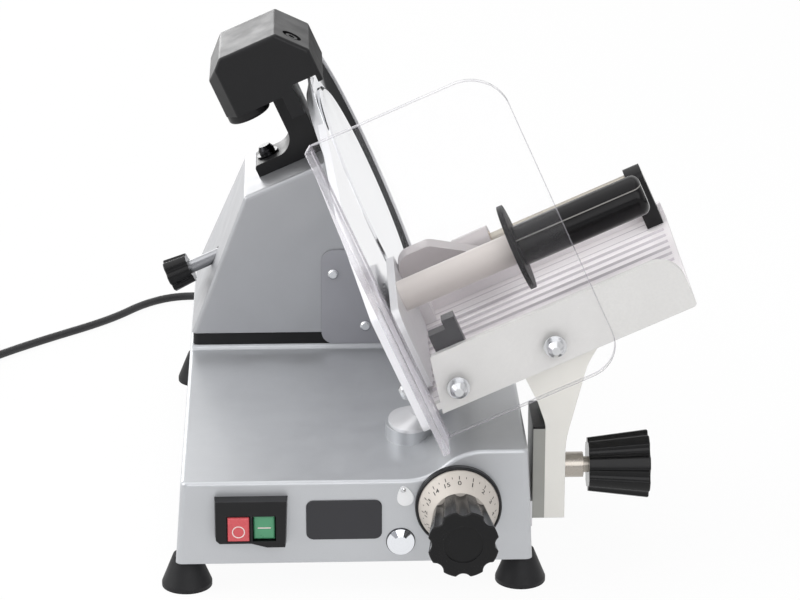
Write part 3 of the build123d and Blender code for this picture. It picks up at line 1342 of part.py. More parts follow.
def slice_deflector():
    """Thin plate on the front of the housing beside the blade."""
    edge = HOUSING_FACE - DEFLECTOR_EDGE_GAP
    low, high = DEFLECTOR_HEIGHT
    right = [(face_x(edge, high), high), (face_x(edge, low), low)]
    points = [(DEFLECTOR_LEFT, low), (DEFLECTOR_LEFT, high)] + right
    radii = (DEFLECTOR_CORNER, DEFLECTOR_CORNER, DEFLECTOR_CORNER, DEFLECTOR_CORNER / 2)
    plate = along_y(rounded(points, radii), (HOUSING_FRONT - DEFLECTOR_THICKNESS, HOUSING_FRONT))
    for x, z in DEFLECTOR_SCREWS:
        y = (HOUSING_FRONT - DEFLECTOR_THICKNESS, HOUSING_FRONT)
        plate -= bar_y(DEFLECTOR_SCREW_RADIUS + SEAT, x, y, z)
    return plate


def bracket_bolt_y():
    return HEAD + (BRACKET_SETBACK[0] + BRACKET_SETBACK[1]) / 2


def housing_screws():
    """Deflector screws, and the bolt and washer of the sharpener bracket, as a list."""
    length = DEFLECTOR_THICKNESS + HOUSING_WALL
    small = screw(DEFLECTOR_SCREW_HEAD, DEFLECTOR_SCREW_HEAD_HEIGHT, DEFLECTOR_SCREW_RADIUS, length)
    seat = HOUSING_FRONT - DEFLECTOR_THICKNESS
    pieces = [Pos(x, seat, z) * Rot(0, 0, -90) * small for x, z in DEFLECTOR_SCREWS]
    bolt = screw(BRACKET_BOLT_HEAD, BRACKET_BOLT_HEAD_HEIGHT, BRACKET_BOLT_RADIUS,
                 BRACKET_BOLT_LENGTH + WASHER_THICKNESS)
    washer = tube(BRACKET_BOLT_RADIUS + SEAT, BRACKET_WASHER_RADIUS, (-WASHER_THICKNESS, 0))
    top = HOUSING_TOP + BRACKET_FOOT_THICKNESS + WASHER_THICKNESS
    place = Pos(BRACKET_BOLT_OFFSET, bracket_bolt_y(), top)
    pieces += [tilted(place * upright(piece)) for piece in (bolt, washer)]
    return pieces


# Blade and drive


def blade():
    """Dished disc, ground to an edge on the food side."""
    back = BLADE_SEAT + BLADE_SHOULDER_RISE
    front = BLADE_SEAT + BLADE_THICKNESS
    disc = turned([
        (BLADE_SEAT, BLADE_BORE), (BLADE_SEAT, BLADE_FLAT), (back, BLADE_SHOULDER),
        (BLADE_EDGE - BLADE_EDGE_THICKNESS, BLADE_RADIUS), (BLADE_EDGE, BLADE_RADIUS),
        (back + BLADE_THICKNESS, BLADE_SHOULDER), (front, BLADE_FLAT), (front, BLADE_BORE),
    ])
    for y, z in blade_screw_places():
        disc -= bar_x(BLADE_SCREW_RADIUS + SEAT, (BLADE_SEAT, front), y, z)
    return on_blade(disc)


def blade_screw_places():
    angles = [2 * pi * (index + 0.5) / BLADE_SCREWS for index in range(BLADE_SCREWS)]
    return [(BLADE_SCREW_CIRCLE * cos(angle), BLADE_SCREW_CIRCLE * sin(angle)) for angle in angles]


def blade_screws():
    piece = screw(BLADE_SCREW_HEAD, BLADE_SCREW_HEAD_HEIGHT, BLADE_SCREW_RADIUS, BLADE_SCREW_LENGTH)
    seat = BLADE_SEAT + BLADE_THICKNESS
    return Compound(children=[on_blade(Pos(seat, y, z) * piece) for y, z in blade_screw_places()])


def pulley_outline(bore, radius):
    """Belt face between two rims, from its bore out and back, as (along, radius) points."""
    end = PULLEY_START + PULLEY_WIDTH
    rim = radius + PULLEY_RIM_RISE
    return [
        (PULLEY_START, bore), (PULLEY_START, rim), (PULLEY_START + PULLEY_RIM, rim),
        (PULLEY_START + PULLEY_RIM, radius), (end - PULLEY_RIM, radius), (end - PULLEY_RIM, rim), (end, rim),
    ]


def blade_pulley():
    bore = BEARING_RADIUS + RUN
    end = PULLEY_START + PULLEY_WIDTH
    hub = turned(pulley_outline(bore, BLADE_PULLEY_RADIUS)
                 + [(end, HUB_RADIUS), (BLADE_SEAT, HUB_RADIUS), (BLADE_SEAT, bore)])
    depth = BLADE_SCREW_LENGTH - BLADE_THICKNESS
    for y, z in blade_screw_places():
        hub -= bar_x(BLADE_SCREW_RADIUS + SEAT, (BLADE_SEAT - depth, BLADE_SEAT), y, z)
    return on_blade(hub)


def blade_spindle():
    flange = WEB_START + WEB_THICKNESS
    return on_blade(turned([
        (SPINDLE_START, SPINDLE_BORE), (SPINDLE_START, SPINDLE_RADIUS), (flange, SPINDLE_RADIUS),
        (flange, SPINDLE_FLANGE_RADIUS), (flange + SPINDLE_FLANGE, SPINDLE_FLANGE_RADIUS),
        (flange + SPINDLE_FLANGE, SPINDLE_RADIUS), (SPINDLE_END, SPINDLE_RADIUS), (SPINDLE_END, SPINDLE_BORE),
    ]))


def spindle_bearings():
    spans = [(start, start + BEARING_WIDTH) for start in BEARING_STARTS]
    rings = [tube(SPINDLE_RADIUS + SEAT, BEARING_RADIUS, span) for span in spans]
    return Compound(children=[on_blade(ring) for ring in rings])


def belt_loop(grow):
    """Loop round both pulleys at a distance from their belt faces, in (y, m)."""
    large = Pos(BLADE_Y, BLADE_M) * Circle(BLADE_PULLEY_RADIUS + grow)
    small = Pos(MOTOR_Y, MOTOR_M) * Circle(MOTOR_PULLEY_RADIUS + grow)
    return make_hull([*large.edges(), *small.edges()])


def drive_belt():
    rim = PULLEY_RIM + BELT_SIDE_GAP
    n = (PULLEY_START + rim, PULLEY_START + PULLEY_WIDTH - rim)
    loop = belt_loop(GAP + BELT_THICKNESS) - belt_loop(GAP)
    return tilted(along_x(loop, n))


def motor():
    end = WEB_START
    start = end - MOTOR_LENGTH
    bore = MOTOR_SHAFT_RADIUS + RUN
    bore_end = end - MOTOR_SHAFT_DEPTH - GAP
    return on_motor(turned([
        (start, 0), (start, MOTOR_RADIUS - MOTOR_CAP), (start + MOTOR_CAP, MOTOR_RADIUS), (end, MOTOR_RADIUS),
        (end, bore), (bore_end, bore), (bore_end, 0),
    ]))


def motor_pulley():
    """Rotor shaft with the small pulley on its end."""
    start = WEB_START - MOTOR_SHAFT_DEPTH
    end = PULLEY_START + PULLEY_WIDTH
    return on_motor(turned([(start, 0), (start, MOTOR_SHAFT_RADIUS)]
                           + pulley_outline(MOTOR_SHAFT_RADIUS, MOTOR_PULLEY_RADIUS) + [(end, 0)]))


def blade_cover():
    """Fixed disc in the dish of the blade, drawn on to the spindle by the tie rod."""
    socket = COVER_START + COVER_SOCKET
    return on_blade(turned([
        (SPINDLE_END, TIE_ROD_RADIUS + RUN), (SPINDLE_END, COVER_BOSS), (COVER_START, COVER_BOSS),
        (COVER_START, COVER_RADIUS - COVER_RIM), (COVER_START + COVER_RIM / 2, COVER_RADIUS),
        (COVER_END - COVER_RIM / 2, COVER_RADIUS), (COVER_END, COVER_RADIUS - COVER_RIM), (COVER_END, 0),
        (socket, 0), (socket, TIE_ROD_RADIUS + RUN),
    ]))


def ring_guard():
    """Guard round the unused part of the blade: a rim and a plate on the housing's face."""
    inner = BLADE_RADIUS + RING_GAP
    outer = inner + RING_THICKNESS
    plate = HOUSING_FACE + RING_PLATE
    section = profile([
        (HOUSING_FACE, RING_INNER), (HOUSING_FACE, outer), (RING_END, outer), (RING_END, inner),
        (plate, inner), (plate, RING_INNER),
    ])
    low, high = RING_ANGLES
    return on_blade(Rot(low, 0, 0) * revolve(section, Axis.X, high - low))


def tie_rod():
    start = TIE_KNOB_SPAN[1] - TIE_KNOB_SOCKET
    return on_blade(bar_x(TIE_ROD_RADIUS, (start, COVER_START + COVER_SOCKET - GAP), 0, 0))


def tie_rod_knob():
    length = TIE_KNOB_SPAN[1] - TIE_KNOB_SPAN[0]
    knob = lobed_knob(TIE_KNOB_RADIUS, TIE_KNOB_BACK_RADIUS, length, TIE_KNOB_LOBES, TIE_KNOB_FLUTE,
                      TIE_KNOB_RADIUS + TIE_KNOB_FLUTE / 2)
    knob -= bar_x(TIE_ROD_RADIUS + SEAT, (-1, TIE_KNOB_SOCKET), 0, 0)
    return on_blade(Pos(TIE_KNOB_SPAN[1], 0, 0) * Rot(0, 0, 180) * knob)


# Sharpener


def sharpener_bracket():
    """Foot on the housing, upright behind the blade and a post for the head."""
    foot_top = HOUSING_TOP + BRACKET_FOOT_THICKNESS
    outline = rounded([
        (BRACKET_FOOT_SPAN[0], HOUSING_TOP), (BRACKET_FOOT_SPAN[0], foot_top), (UPRIGHT_SPAN[0], foot_top),
        (UPRIGHT_SPAN[0], UPRIGHT_TOP), (UPRIGHT_SPAN[1], UPRIGHT_TOP), (UPRIGHT_SPAN[1], HOUSING_TOP),
    ], (0, EDGE_RADIUS, UPRIGHT_FILLET, EDGE_RADIUS, EDGE_RADIUS, 0))
    bracket = along_y(outline, span_y(BRACKET_SETBACK))
    post_n = (UPRIGHT_SPAN[0] + UPRIGHT_SPAN[1]) / 2
    bracket += bar_z(POST_RADIUS, post_n, bracket_bolt_y(), (UPRIGHT_TOP - EDGE_RADIUS, POST_TOP))
    hole = (HOUSING_TOP, foot_top)
    bracket -= bar_z(BRACKET_BOLT_RADIUS + SEAT, BRACKET_BOLT_OFFSET, bracket_bolt_y(), hole)
    return tilted(bracket)


def hood_outline():
    return profile([
        (HOOD_LEFT, HOOD_BOTTOM), (HOOD_LEFT, HOOD_TOP - HOOD_SHOULDER_LEFT),
        (HOOD_LEFT + HOOD_SHOULDER_LEFT, HOOD_TOP), (HOOD_RIGHT - HOOD_SHOULDER_RIGHT, HOOD_TOP),
        (HOOD_RIGHT, HOOD_TOP - HOOD_SHOULDER_DROP), (HOOD_RIGHT, HOOD_BOTTOM),
    ])


def hood_plan():
    """Plan of the hood in (n, y) with its front left corner cut off."""
    front, rear = span_y(HOOD_SETBACK)
    return profile([
        (HOOD_LEFT + HOOD_CORNER[0], front), (HOOD_RIGHT, front), (HOOD_RIGHT, rear), (HOOD_LEFT, rear),
        (HOOD_LEFT, front + HOOD_CORNER[1]),
    ])


def hood_block(outline, plan):
    """Room that lies inside both an outline in (n, m) and a plan in (n, y)."""
    standing = Pos(0, 0, HOOD_BOTTOM - 1) * extrude(plan, HOOD_TOP - HOOD_BOTTOM + 2)
    return along_y(outline, span_y(HOOD_SETBACK)) & standing


def hood_inside():
    inner = offset(hood_outline(), -HOOD_WALL, kind=Kind.INTERSECTION)
    plan = offset(hood_plan(), -HOOD_WALL, kind=Kind.INTERSECTION)
    mouth = Pos(0, 0, HOOD_BOTTOM - 1) * extrude(plan, 2 * HOOD_WALL)
    sides = (HOOD_LEFT + HOOD_WALL, HOOD_RIGHT - HOOD_WALL)
    mouth &= block(sides, span_y(HOOD_SETBACK), (HOOD_BOTTOM - 1, HOOD_TOP))
    return hood_block(inner, plan) + mouth


def hood_screw(shape):
    """Place a piece drawn along X on the sloping right shoulder of the hood."""
    n = HOOD_RIGHT - HOOD_SHOULDER_RIGHT / 2
    m = HOOD_TOP - HOOD_SHOULDER_DROP / 2
    lean = degrees(atan2(HOOD_SHOULDER_RIGHT, HOOD_SHOULDER_DROP))
    return Pos(n, HEAD + HOOD_RECESS_SETBACK, m) * Rot(0, -lean, 0) * shape


def lock_bar(radius, m):
    return bar_z(radius, LOCK_KNOB_OFFSET, HEAD + LOCK_KNOB_SETBACK, m)


def stone_bearer():
    """Bracket inside the hood that carries the grinding stone and its holder."""
    y = HEAD + STONE_SETBACK
    back = STONE_END - STONE_THICKNESS - GAP
    front_y = (HEAD + HOOD_SETBACK[0] + HOOD_WALL / 2, HEAD + HOOD_SETBACK[0] + HOOD_WALL + HOLDER_DEPTH)
    holder = block(HOLDER_SPAN, front_y, (HOLDER_BOTTOM, HOOD_BOTTOM + 2 * STONE_BEARER))
    bearer_m = (STONE_M - STONE_BEARER, HOOD_TOP - 1)
    bearer = block((back - STONE_BEARER, back), about(y, 2 * STONE_RADIUS), bearer_m)
    return [holder & clear_of_stone(), bearer - stone_axle(STONE_AXLE + RUN)]


def clear_of_stone():
    """Room outside the stone's own space, for cutting the holder to it."""
    room = block((0, 2 * HOOD_RIGHT), span_y((0, 2 * STONE_SETBACK)), (0, 2 * HOOD_TOP))
    span = (STONE_END - STONE_THICKNESS - STONE_BEARER - 1, STONE_END + 1)
    return room - bar_x(STONE_RADIUS + 1, span, HEAD + STONE_SETBACK, STONE_M)


def stone_axle(radius):
    start = STONE_END - STONE_THICKNESS - GAP - STONE_BEARER
    return bar_x(radius, (start, STONE_END - 1), HEAD + STONE_SETBACK, STONE_M)


def deburr_axle(radius, end):
    return bar_x(radius, (HOOD_RIGHT - HOOD_WALL - 1, end), HEAD + DEBURR_SETBACK, DEBURR_M)


def sharpener_hood():
    """Hollow cover over the top of the blade with a socket for the post."""
    whole = hood_block(hood_outline(), hood_plan())
    upper = whole.edges().filter_by(lambda edge: edge.center().Z > HOOD_BOTTOM + 1)
    hood = fillet(upper, HOOD_EDGE)
    hood -= hood_inside()
    hood += lock_bar(LOCK_BOSS_RADIUS, (HOOD_BOTTOM, HOOD_TOP - HOOD_WALL / 2)) & whole
    hood -= lock_bar(LOCK_STEM_RADIUS + RUN, (HOOD_BOTTOM - 1, HOOD_BOTTOM + LOCK_STEM_LENGTH + GAP))
    hood -= hood_screw(bar_x(HOOD_RECESS_RADIUS, (-HOOD_RECESS_DEPTH, HOOD_WALL), 0, 0))
    head = (-HOOD_RECESS_DEPTH, HOOD_SCREW_HEAD_HEIGHT - HOOD_RECESS_DEPTH)
    hood += hood_screw(tube(HOOD_SCREW_SOCKET, HOOD_SCREW_HEAD, head))
    post_n = (UPRIGHT_SPAN[0] + UPRIGHT_SPAN[1]) / 2
    hood += bar_z(HOOD_SOCKET, post_n, bracket_bolt_y(), (HOOD_SOCKET_BOTTOM, HOOD_TOP - 1))
    hood += stone_bearer()
    hood -= bar_z(POST_RADIUS + RUN, post_n, bracket_bolt_y(), (HOOD_BOTTOM, POST_TOP + GAP))
    front_y = (HEAD + HOOD_SETBACK[0] - 1, HEAD + HOOD_SETBACK[0] + HOOD_WALL + GAP)
    rear_y = (HEAD + HOOD_SETBACK[1] - HOOD_WALL - GAP, HEAD + HOOD_SETBACK[1] + 1)
    notch_n = (HOOD_FRONT_NOTCH[0], HOOD_RIGHT - HOOD_WALL)
    hood -= block(notch_n, front_y, (HOOD_BOTTOM - 1, HOOD_FRONT_NOTCH[1]))
    hood += block(HOLDER_SPAN, (front_y[0] + 1, front_y[1]), (HOLDER_BOTTOM, HOOD_FRONT_NOTCH[1]))
    hood -= block(notch_n, rear_y, (HOOD_BOTTOM - 1, HOOD_REAR_NOTCH))
    return tilted(hood - deburr_axle(DEBURR_AXLE + RUN, HOOD_RIGHT - DEBURR_SKIN))


def sharpener_knob():
    """Round grip under the hood on a stem that turns in the hood's boss."""
    top = HOOD_BOTTOM - GAP
    grip = lock_bar(LOCK_KNOB_RADIUS, (LOCK_KNOB_BOTTOM, top))
    grip = fillet(grip.edges().filter_by(GeomType.CIRCLE), LOCK_KNOB_EDGE)
    return tilted(grip + lock_bar(LOCK_STEM_RADIUS, (top - 1, HOOD_BOTTOM + LOCK_STEM_LENGTH)))


def grinding_stone():
    wheel = bar_x(STONE_RADIUS, (STONE_END - STONE_THICKNESS, STONE_END), HEAD + STONE_SETBACK, STONE_M)
    return tilted(wheel + stone_axle(STONE_AXLE))


def deburring_stone():
    end = HOOD_RIGHT - HOOD_WALL - GAP
    wheel = bar_x(DEBURR_RADIUS, (end - DEBURR_THICKNESS, end), HEAD + DEBURR_SETBACK, DEBURR_M)
    return tilted(wheel + deburr_axle(DEBURR_AXLE, HOOD_RIGHT - DEBURR_SKIN - GAP))


# Mains cord


def cord_gland():
    """Nut inside the rear wall and a tapered sleeve round the cord outside."""
    shape = turned([
        (-WALL - GLAND_NUT, CORD_RADIUS), (-WALL - GLAND_NUT, GLAND_NUT_RADIUS), (-WALL, GLAND_NUT_RADIUS),
        (-WALL, GLAND_RADIUS), (0, GLAND_RADIUS), (0, GLAND_NUT_RADIUS), (GLAND_NUT, GLAND_NUT_RADIUS),
        (GLAND_NUT, GLAND_RADIUS), (GLAND_LENGTH, GLAND_TIP_RADIUS), (GLAND_LENGTH, CORD_RADIUS),
    ])
    return Pos(GLAND_X, REAR, GLAND_Z) * Rot(0, 0, 90) * shape


def cord_radii():
    """Largest bend that fits at each inner point of the route."""
    radii = []
    for before, here, after in zip(CORD_ROUTE, CORD_ROUTE[1:], CORD_ROUTE[2:]):
        turn = (Vector(*here) - Vector(*before)).get_angle(Vector(*after) - Vector(*here))
        shorter = min(dist(before, here), dist(here, after))
        radii.append(CORD_ARC_SHARE * shorter / tan(radians(turn) / 2))
    return radii


def swept_cord(path):
    start = Plane(origin=path @ 0, z_dir=path % 0)
    return sweep(start * Circle(CORD_RADIUS), path=path)


def power_cord():
    radii = cord_radii()
    path = FilletPolyline(*CORD_ROUTE, radius=radii)
    cord = swept_cord(path)
    share = cord.volume / (pi * CORD_RADIUS ** 2 * path.length)
    print("cord length", round(path.length, 1), "volume share", round(share, 4))
    print("cord radii", [round(radius, 1) for radius in radii])
    return cord


def coil_frame():
    """Centre, start angle and height of the coil, set by the last run of the route."""
    last = Vector(*CORD_ROUTE[-1])
    heading = (last - Vector(*CORD_ROUTE[-2])).normalized()
    start = last + heading * 2 * CORD_RADIUS
    outer = coil_radius(0.0)
    lead = degrees(atan2(COIL_STEP, 2 * pi * outer))
    angle = degrees(atan2(heading.Y, heading.X)) + 90 + lead
    centre = start - Vector(outer * cos(radians(angle)), outer * sin(radians(angle)), 0)
    return centre, angle


def coil_turns():
    return 2 * COIL_LAYER_TURNS + COIL_CLIMB


def coil_radius(turn):
    """Radius of the winding: in along the lower layer and out again along the upper one."""
    half = coil_turns() / 2
    side = abs(turn - half)
    blend = COIL_CLIMB / 2
    inner = COIL_RADIUS - COIL_STEP * half / 2
    if side < blend:
        side = side ** 2 / (2 * blend) + blend / 2
    return inner + COIL_STEP * side


def coil_rise(turn):
    """Height above the lower layer, climbed where the spiral reverses."""
    share = (turn - coil_turns() / 2) / COIL_CLIMB + 0.5
    share = min(max(share, 0.0), 1.0)
    return COIL_STEP * share ** 2 * (3 - 2 * share)


def coil_point(turn):
    centre, angle = coil_frame()
    bearing = radians(angle - 360 * turn)
    radius = coil_radius(turn)
    return centre + Vector(radius * cos(bearing), radius * sin(bearing), coil_rise(turn))


def coil_heading(turn):
    step = 0.001
    return (coil_point(turn + step) - coil_point(turn - step)).normalized()


def biarc(start, heading, end, final):
    """Two arcs that leave the start and reach the end along given headings."""
    chord = end - start
    both = heading + final
    twist = 2 * (1 - heading.dot(final))
    reach = chord.dot(both)
    if twist < 1e-9:
        length = chord.dot(chord) / (4 * chord.dot(final))
    else:
        length = (-reach + sqrt(reach ** 2 + twist * chord.dot(chord))) / twist
    before = start + heading * length
    after = end - final * length
    joint = (before + after) * 0.5
    return [TangentArc(start, joint, tangent=heading), TangentArc(joint, end, tangent=after - before)]


def plug_entry():
    """Where the cord enters the plug, and its heading there."""
    end = coil_point(coil_turns())
    heading = coil_heading(coil_turns())
    level = Vector(heading.X, heading.Y, 0).normalized()
    place = end + level * COIL_TAIL
    return Vector(place.X, place.Y, PLUG_RADIUS + GAP), level


def coil_gap(samples):
    """Least distance between the surfaces of two turns, measured on points of the winding."""
    count = int(samples * coil_turns())
    points = [coil_point(index / samples) for index in range(count)]
    least = min((points[i] - points[j]).length
                for i in range(count) for j in range(i + samples // 2, count))
    return least - 2 * CORD_RADIUS


def cord_coil():
    """Rest of the cord: a straight end, the turns, and a tail to the plug."""
    steps = ceil(4 * coil_turns())
    turns = [index * coil_turns() / steps for index in range(steps + 1)]
    first = Vector(*CORD_ROUTE[-1])
    edges = [Line(first, coil_point(0.0))]
    for here, after in zip(turns, turns[1:]):
        edges += biarc(coil_point(here), coil_heading(here), coil_point(after), coil_heading(after))
    place, level = plug_entry()
    straight = place - level * 2 * CORD_RADIUS
    edges += biarc(coil_point(turns[-1]), coil_heading(turns[-1]), straight, level)
    edges.append(Line(straight, place))
    path = Wire(edges)
    coil = swept_cord(path)
    share = coil.volume / (pi * CORD_RADIUS ** 2 * path.length)
    gap = coil_gap(48)
    print("coil length", round(path.length, 1), "volume share", round(share, 4), "gap", round(gap, 2))
    return coil


def cord_tie():
    """Flat strap round all the turns at one side of the coil."""
    centre, angle = coil_frame()
    spare = CORD_RADIUS + TIE_GAP
    cross = [coil_radius(index + TIE_TURN) for index in range(int(coil_turns()))]
    inner = min(cross)
    bow = TIE_WIDTH ** 2 / (8 * inner) + COIL_STEP * TIE_WIDTH / (4 * pi * inner)
    radial = (inner - spare - bow, max(cross) + spare + bow)
    height = (centre.Z - spare, centre.Z + COIL_STEP + spare)
    width = about(0, TIE_WIDTH)
    outer = block((radial[0] - TIE_THICKNESS, radial[1] + TIE_THICKNESS), width,
                  (height[0] - TIE_THICKNESS, height[1] + TIE_THICKNESS))
    strap = outer - block(radial, width, height)
    return Pos(centre.X, centre.Y, 0) * Rot(0, 0, angle - 360 * TIE_TURN) * strap


def mains_plug():
    """Round plug body with two pins, lying on the table."""
    body = turned([
        (0, 0), (0, PLUG_NECK_RADIUS), (PLUG_NECK, PLUG_NECK_RADIUS + 1), (PLUG_NECK + 8, PLUG_RADIUS - 2),
        (PLUG_LENGTH - 2, PLUG_RADIUS), (PLUG_LENGTH, PLUG_RADIUS - 2), (PLUG_LENGTH, 0),
    ])
    for side in (-1, 1):
        pin = (PLUG_LENGTH - 2, PLUG_LENGTH + PLUG_PIN_LENGTH)
        body += bar_x(PLUG_PIN_RADIUS, pin, side * PLUG_PIN_SPACING / 2, 0)
    place, level = plug_entry()
    return Pos(place.X, place.Y, place.Z) * Rot(0, 0, degrees(atan2(level.Y, level.X))) * body


NODES = {
    "base_casting": base_casting,
    "underside_plate": underside_plate,
    "body_screws": lambda: Compound(children=base_screws() + housing_screws()),
    "rubber_feet": rubber_feet,
    "switch_housing": switch_housing,
    "stop_button": lambda: push_button(-1, STOP_OUT),
    "start_button": lambda: push_button(1, START_OUT),
    "dial_ring": dial_ring,
    "dial_scale": dial_scale,
    "dial_knob": dial_knob,
    "dial_cam_shaft": dial_cam_shaft,
    "gauge_slide_rod": gauge_slide_rod,
    "gauge_slide_block": gauge_slide_block,
    "gauge_support": gauge_support,
    "gauge_plate": gauge_plate,
    "gauge_bolts": gauge_bolts,
    "carriage_slide_rod": carriage_slide_rod,
    "guide_bar": guide_bar,
    "slider_foot": slider_foot,
    "slider_bushes": slider_bushes,
    "arm_bracket": arm_bracket,
    "carriage_arm": carriage_arm,
    "clamp_stud": clamp_stud,
    "clamp_knob": clamp_knob,
    "food_tray": food_tray,
    "tray_block": tray_block,
    "hand_guard": hand_guard,
    "guard_fasteners": guard_fasteners,
    "pusher_rod": pusher_rod,
    "rod_end_block": lambda: tilted(rod_mount(ROD_BLOCK_SPAN)),
    "pusher_liner": pusher_liner,
    "pusher_arm": pusher_arm,
    "pusher_plate": pusher_plate,
    "pusher_sleeve": pusher_sleeve,
    "pusher_grip": pusher_grip,
    "upper_housing": upper_housing,
    "housing_gasket": housing_gasket,
    "slice_deflector": slice_deflector,
    "blade": blade,
    "blade_screws": blade_screws,
    "blade_pulley": blade_pulley,
    "blade_spindle": blade_spindle,
    "spindle_bearings": spindle_bearings,
    "drive_belt": drive_belt,
    "motor": motor,
    "motor_pulley": motor_pulley,
    "blade_cover": blade_cover,
    "ring_guard": ring_guard,
    "tie_rod": tie_rod,
    "tie_rod_knob": tie_rod_knob,
    "sharpener_bracket": sharpener_bracket,
    "sharpener_hood": sharpener_hood,
    "sharpener_knob": sharpener_knob,
    "grinding_stone": grinding_stone,
    "deburring_stone": deburring_stone,
    "cord_gland": cord_gland,
    "power_cord": power_cord,
    "cord_coil": cord_coil,
    "cord_tie": cord_tie,
    "mains_plug": mains_plug,
}

os.makedirs("parts", exist_ok=True)
for name, make in NODES.items():
    export_step(make(), f"parts/{name}.step")
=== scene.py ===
import json
import math
import bmesh
import bpy
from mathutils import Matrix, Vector


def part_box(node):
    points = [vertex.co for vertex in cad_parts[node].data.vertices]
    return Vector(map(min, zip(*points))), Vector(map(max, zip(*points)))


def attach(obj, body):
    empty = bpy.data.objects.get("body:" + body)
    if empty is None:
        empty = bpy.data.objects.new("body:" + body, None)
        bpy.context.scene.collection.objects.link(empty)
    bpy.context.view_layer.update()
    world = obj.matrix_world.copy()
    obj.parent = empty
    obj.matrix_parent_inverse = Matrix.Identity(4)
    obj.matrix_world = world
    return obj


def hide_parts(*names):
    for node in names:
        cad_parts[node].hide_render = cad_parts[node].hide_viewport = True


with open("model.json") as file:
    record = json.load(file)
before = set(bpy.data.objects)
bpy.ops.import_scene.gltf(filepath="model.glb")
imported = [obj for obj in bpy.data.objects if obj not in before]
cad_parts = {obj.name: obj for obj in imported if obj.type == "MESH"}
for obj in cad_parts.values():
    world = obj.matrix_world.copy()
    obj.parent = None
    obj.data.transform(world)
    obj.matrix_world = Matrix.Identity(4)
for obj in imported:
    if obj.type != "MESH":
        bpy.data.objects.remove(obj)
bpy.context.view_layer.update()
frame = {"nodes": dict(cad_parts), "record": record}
NODES = frame["nodes"]

# Shapes are given in millimetres, which MM turns into metres. Finishes and the studio use metres.
MM = 0.001
FRONT = -223.5
TILT = math.radians(24.0)

scene = bpy.context.scene
scene.view_settings.view_transform = "Standard"


def add(name, data):
    """Link a new object to the scene."""
    piece = bpy.data.objects.new(name, data)
    scene.collection.objects.link(piece)
    return piece


# Camera, at the photograph's angle
camera_data = bpy.data.cameras.new("camera")
camera_data.sensor_fit = "HORIZONTAL"
camera_data.sensor_width = 36.0
camera_data.lens = 144.0
camera_data.clip_end = 30.0
camera = add("camera", camera_data)
camera.location = (-0.0412, -2.3460, 1.0078)
camera.rotation_euler = (math.radians(69.82), 0.0, math.radians(-2.01))
scene.camera = camera

# Blade, gauge plate and carriage lean by TILT: n runs along the blade's axis and m up the blade
AXIS_N = Vector((math.cos(TILT), 0.0, math.sin(TILT)))
AXIS_M = Vector((-math.sin(TILT), 0.0, math.cos(TILT)))
AXIS_Y = (0.0, 1.0, 0.0)


def leaned(n, y, m):
    """World point in metres from millimetres along n, y and m."""
    x = n * math.cos(TILT) - m * math.sin(TILT)
    z = n * math.sin(TILT) + m * math.cos(TILT)
    return Vector((x * MM, y * MM, z * MM))


BLADE_CENTRE = leaned(101.5, 96.5, 179.0)

# Mains cord: route, coil and tail, the same points as the solids follow
CORD_ROUTE = [
    (-60, 261.5, 45), (-60, 295, 44), (-62, 329, 33), (-68, 361, 15), (-86, 388, 4.6),
    (-118, 402, 3.5), (-151, 402, 3.5), (-178, 383, 3.5), (-199, 353, 3.5), (-222, 329, 3.5),
    (-249, 306, 3.5), (-275, 281, 4.0), (-299, 255, 4.8), (-320, 229.5, 4.8),
]
CORD_RADIUS = 3.5
COIL_RADIUS = 38.5
COIL_STEP = 7.7
COIL_LAYER_TURNS = 2.25
COIL_CLIMB = 0.5
COIL_TURNS = 2 * COIL_LAYER_TURNS + COIL_CLIMB
COIL_LEAD = 7.0
COIL_TAIL = 52.0
PLUG_HEIGHT = 17.3
TURN_POINTS = 24


def coil_radius(turn):
    """Radius of the coil: inwards on the lower layer and outwards on the upper one."""
    half = COIL_TURNS / 2
    blend = COIL_CLIMB / 2
    side = abs(turn - half)
    if side < blend:
        side = side * side / (2 * blend) + blend / 2
    return COIL_RADIUS - COIL_STEP * half / 2 + COIL_STEP * side


def coil_rise(turn):
    """Height of the coil over its lower layer."""
    share = (turn - COIL_TURNS / 2) / COIL_CLIMB + 0.5
    share = min(max(share, 0.0), 1.0)
    return COIL_STEP * share * share * (3 - 2 * share)


def level(vector):
    """Direction of a vector along the table."""
    return Vector((vector.x, vector.y, 0.0)).normalized()


def cord_points():
    """Control points of the whole cord, in metres."""
    points = [Vector(point) for point in CORD_ROUTE]
    heading = level(points[-1] - points[-2])
    start = points[-1] + heading * COIL_LEAD
    outer = coil_radius(0.0)
    lead = math.atan2(COIL_STEP, 2 * math.pi * outer)
    angle = math.atan2(heading.y, heading.x) + math.pi / 2 + lead
    centre = start - Vector((math.cos(angle), math.sin(angle), 0.0)) * outer
    for index in range(round(COIL_TURNS * TURN_POINTS) + 1):
        turn = index / TURN_POINTS
        bearing = angle - 2 * math.pi * turn
        arm = Vector((math.cos(bearing), math.sin(bearing), 0.0)) * coil_radius(turn)
        points.append(centre + arm + Vector((0.0, 0.0, coil_rise(turn))))
    last = points[-1]
    end = last + level(last - points[-2]) * COIL_TAIL
    end.z = PLUG_HEIGHT
    points.append(last + (end - last) * 0.5)
    points.append(end)
    return [point * MM for point in points]


def tube(name, points, radius):
    """Round bar along a smooth curve."""
    curve = bpy.data.curves.new(name, "CURVE")
    curve.dimensions = "3D"
    curve.bevel_depth = radius
    curve.bevel_resolution = 6
    curve.resolution_u = 6
    curve.use_fill_caps = True
    spline = curve.splines.new("NURBS")
    spline.points.add(len(points) - 1)
    for target, point in zip(spline.points, points):
        target.co = (*point, 1.0)
    spline.order_u = 3
    spline.use_endpoint_u = True
    return add(name, curve)


mains_cord = tube("mains_cord", cord_points(), CORD_RADIUS * MM)

# Materials
WHITE = (1.0, 1.0, 1.0, 1.0)


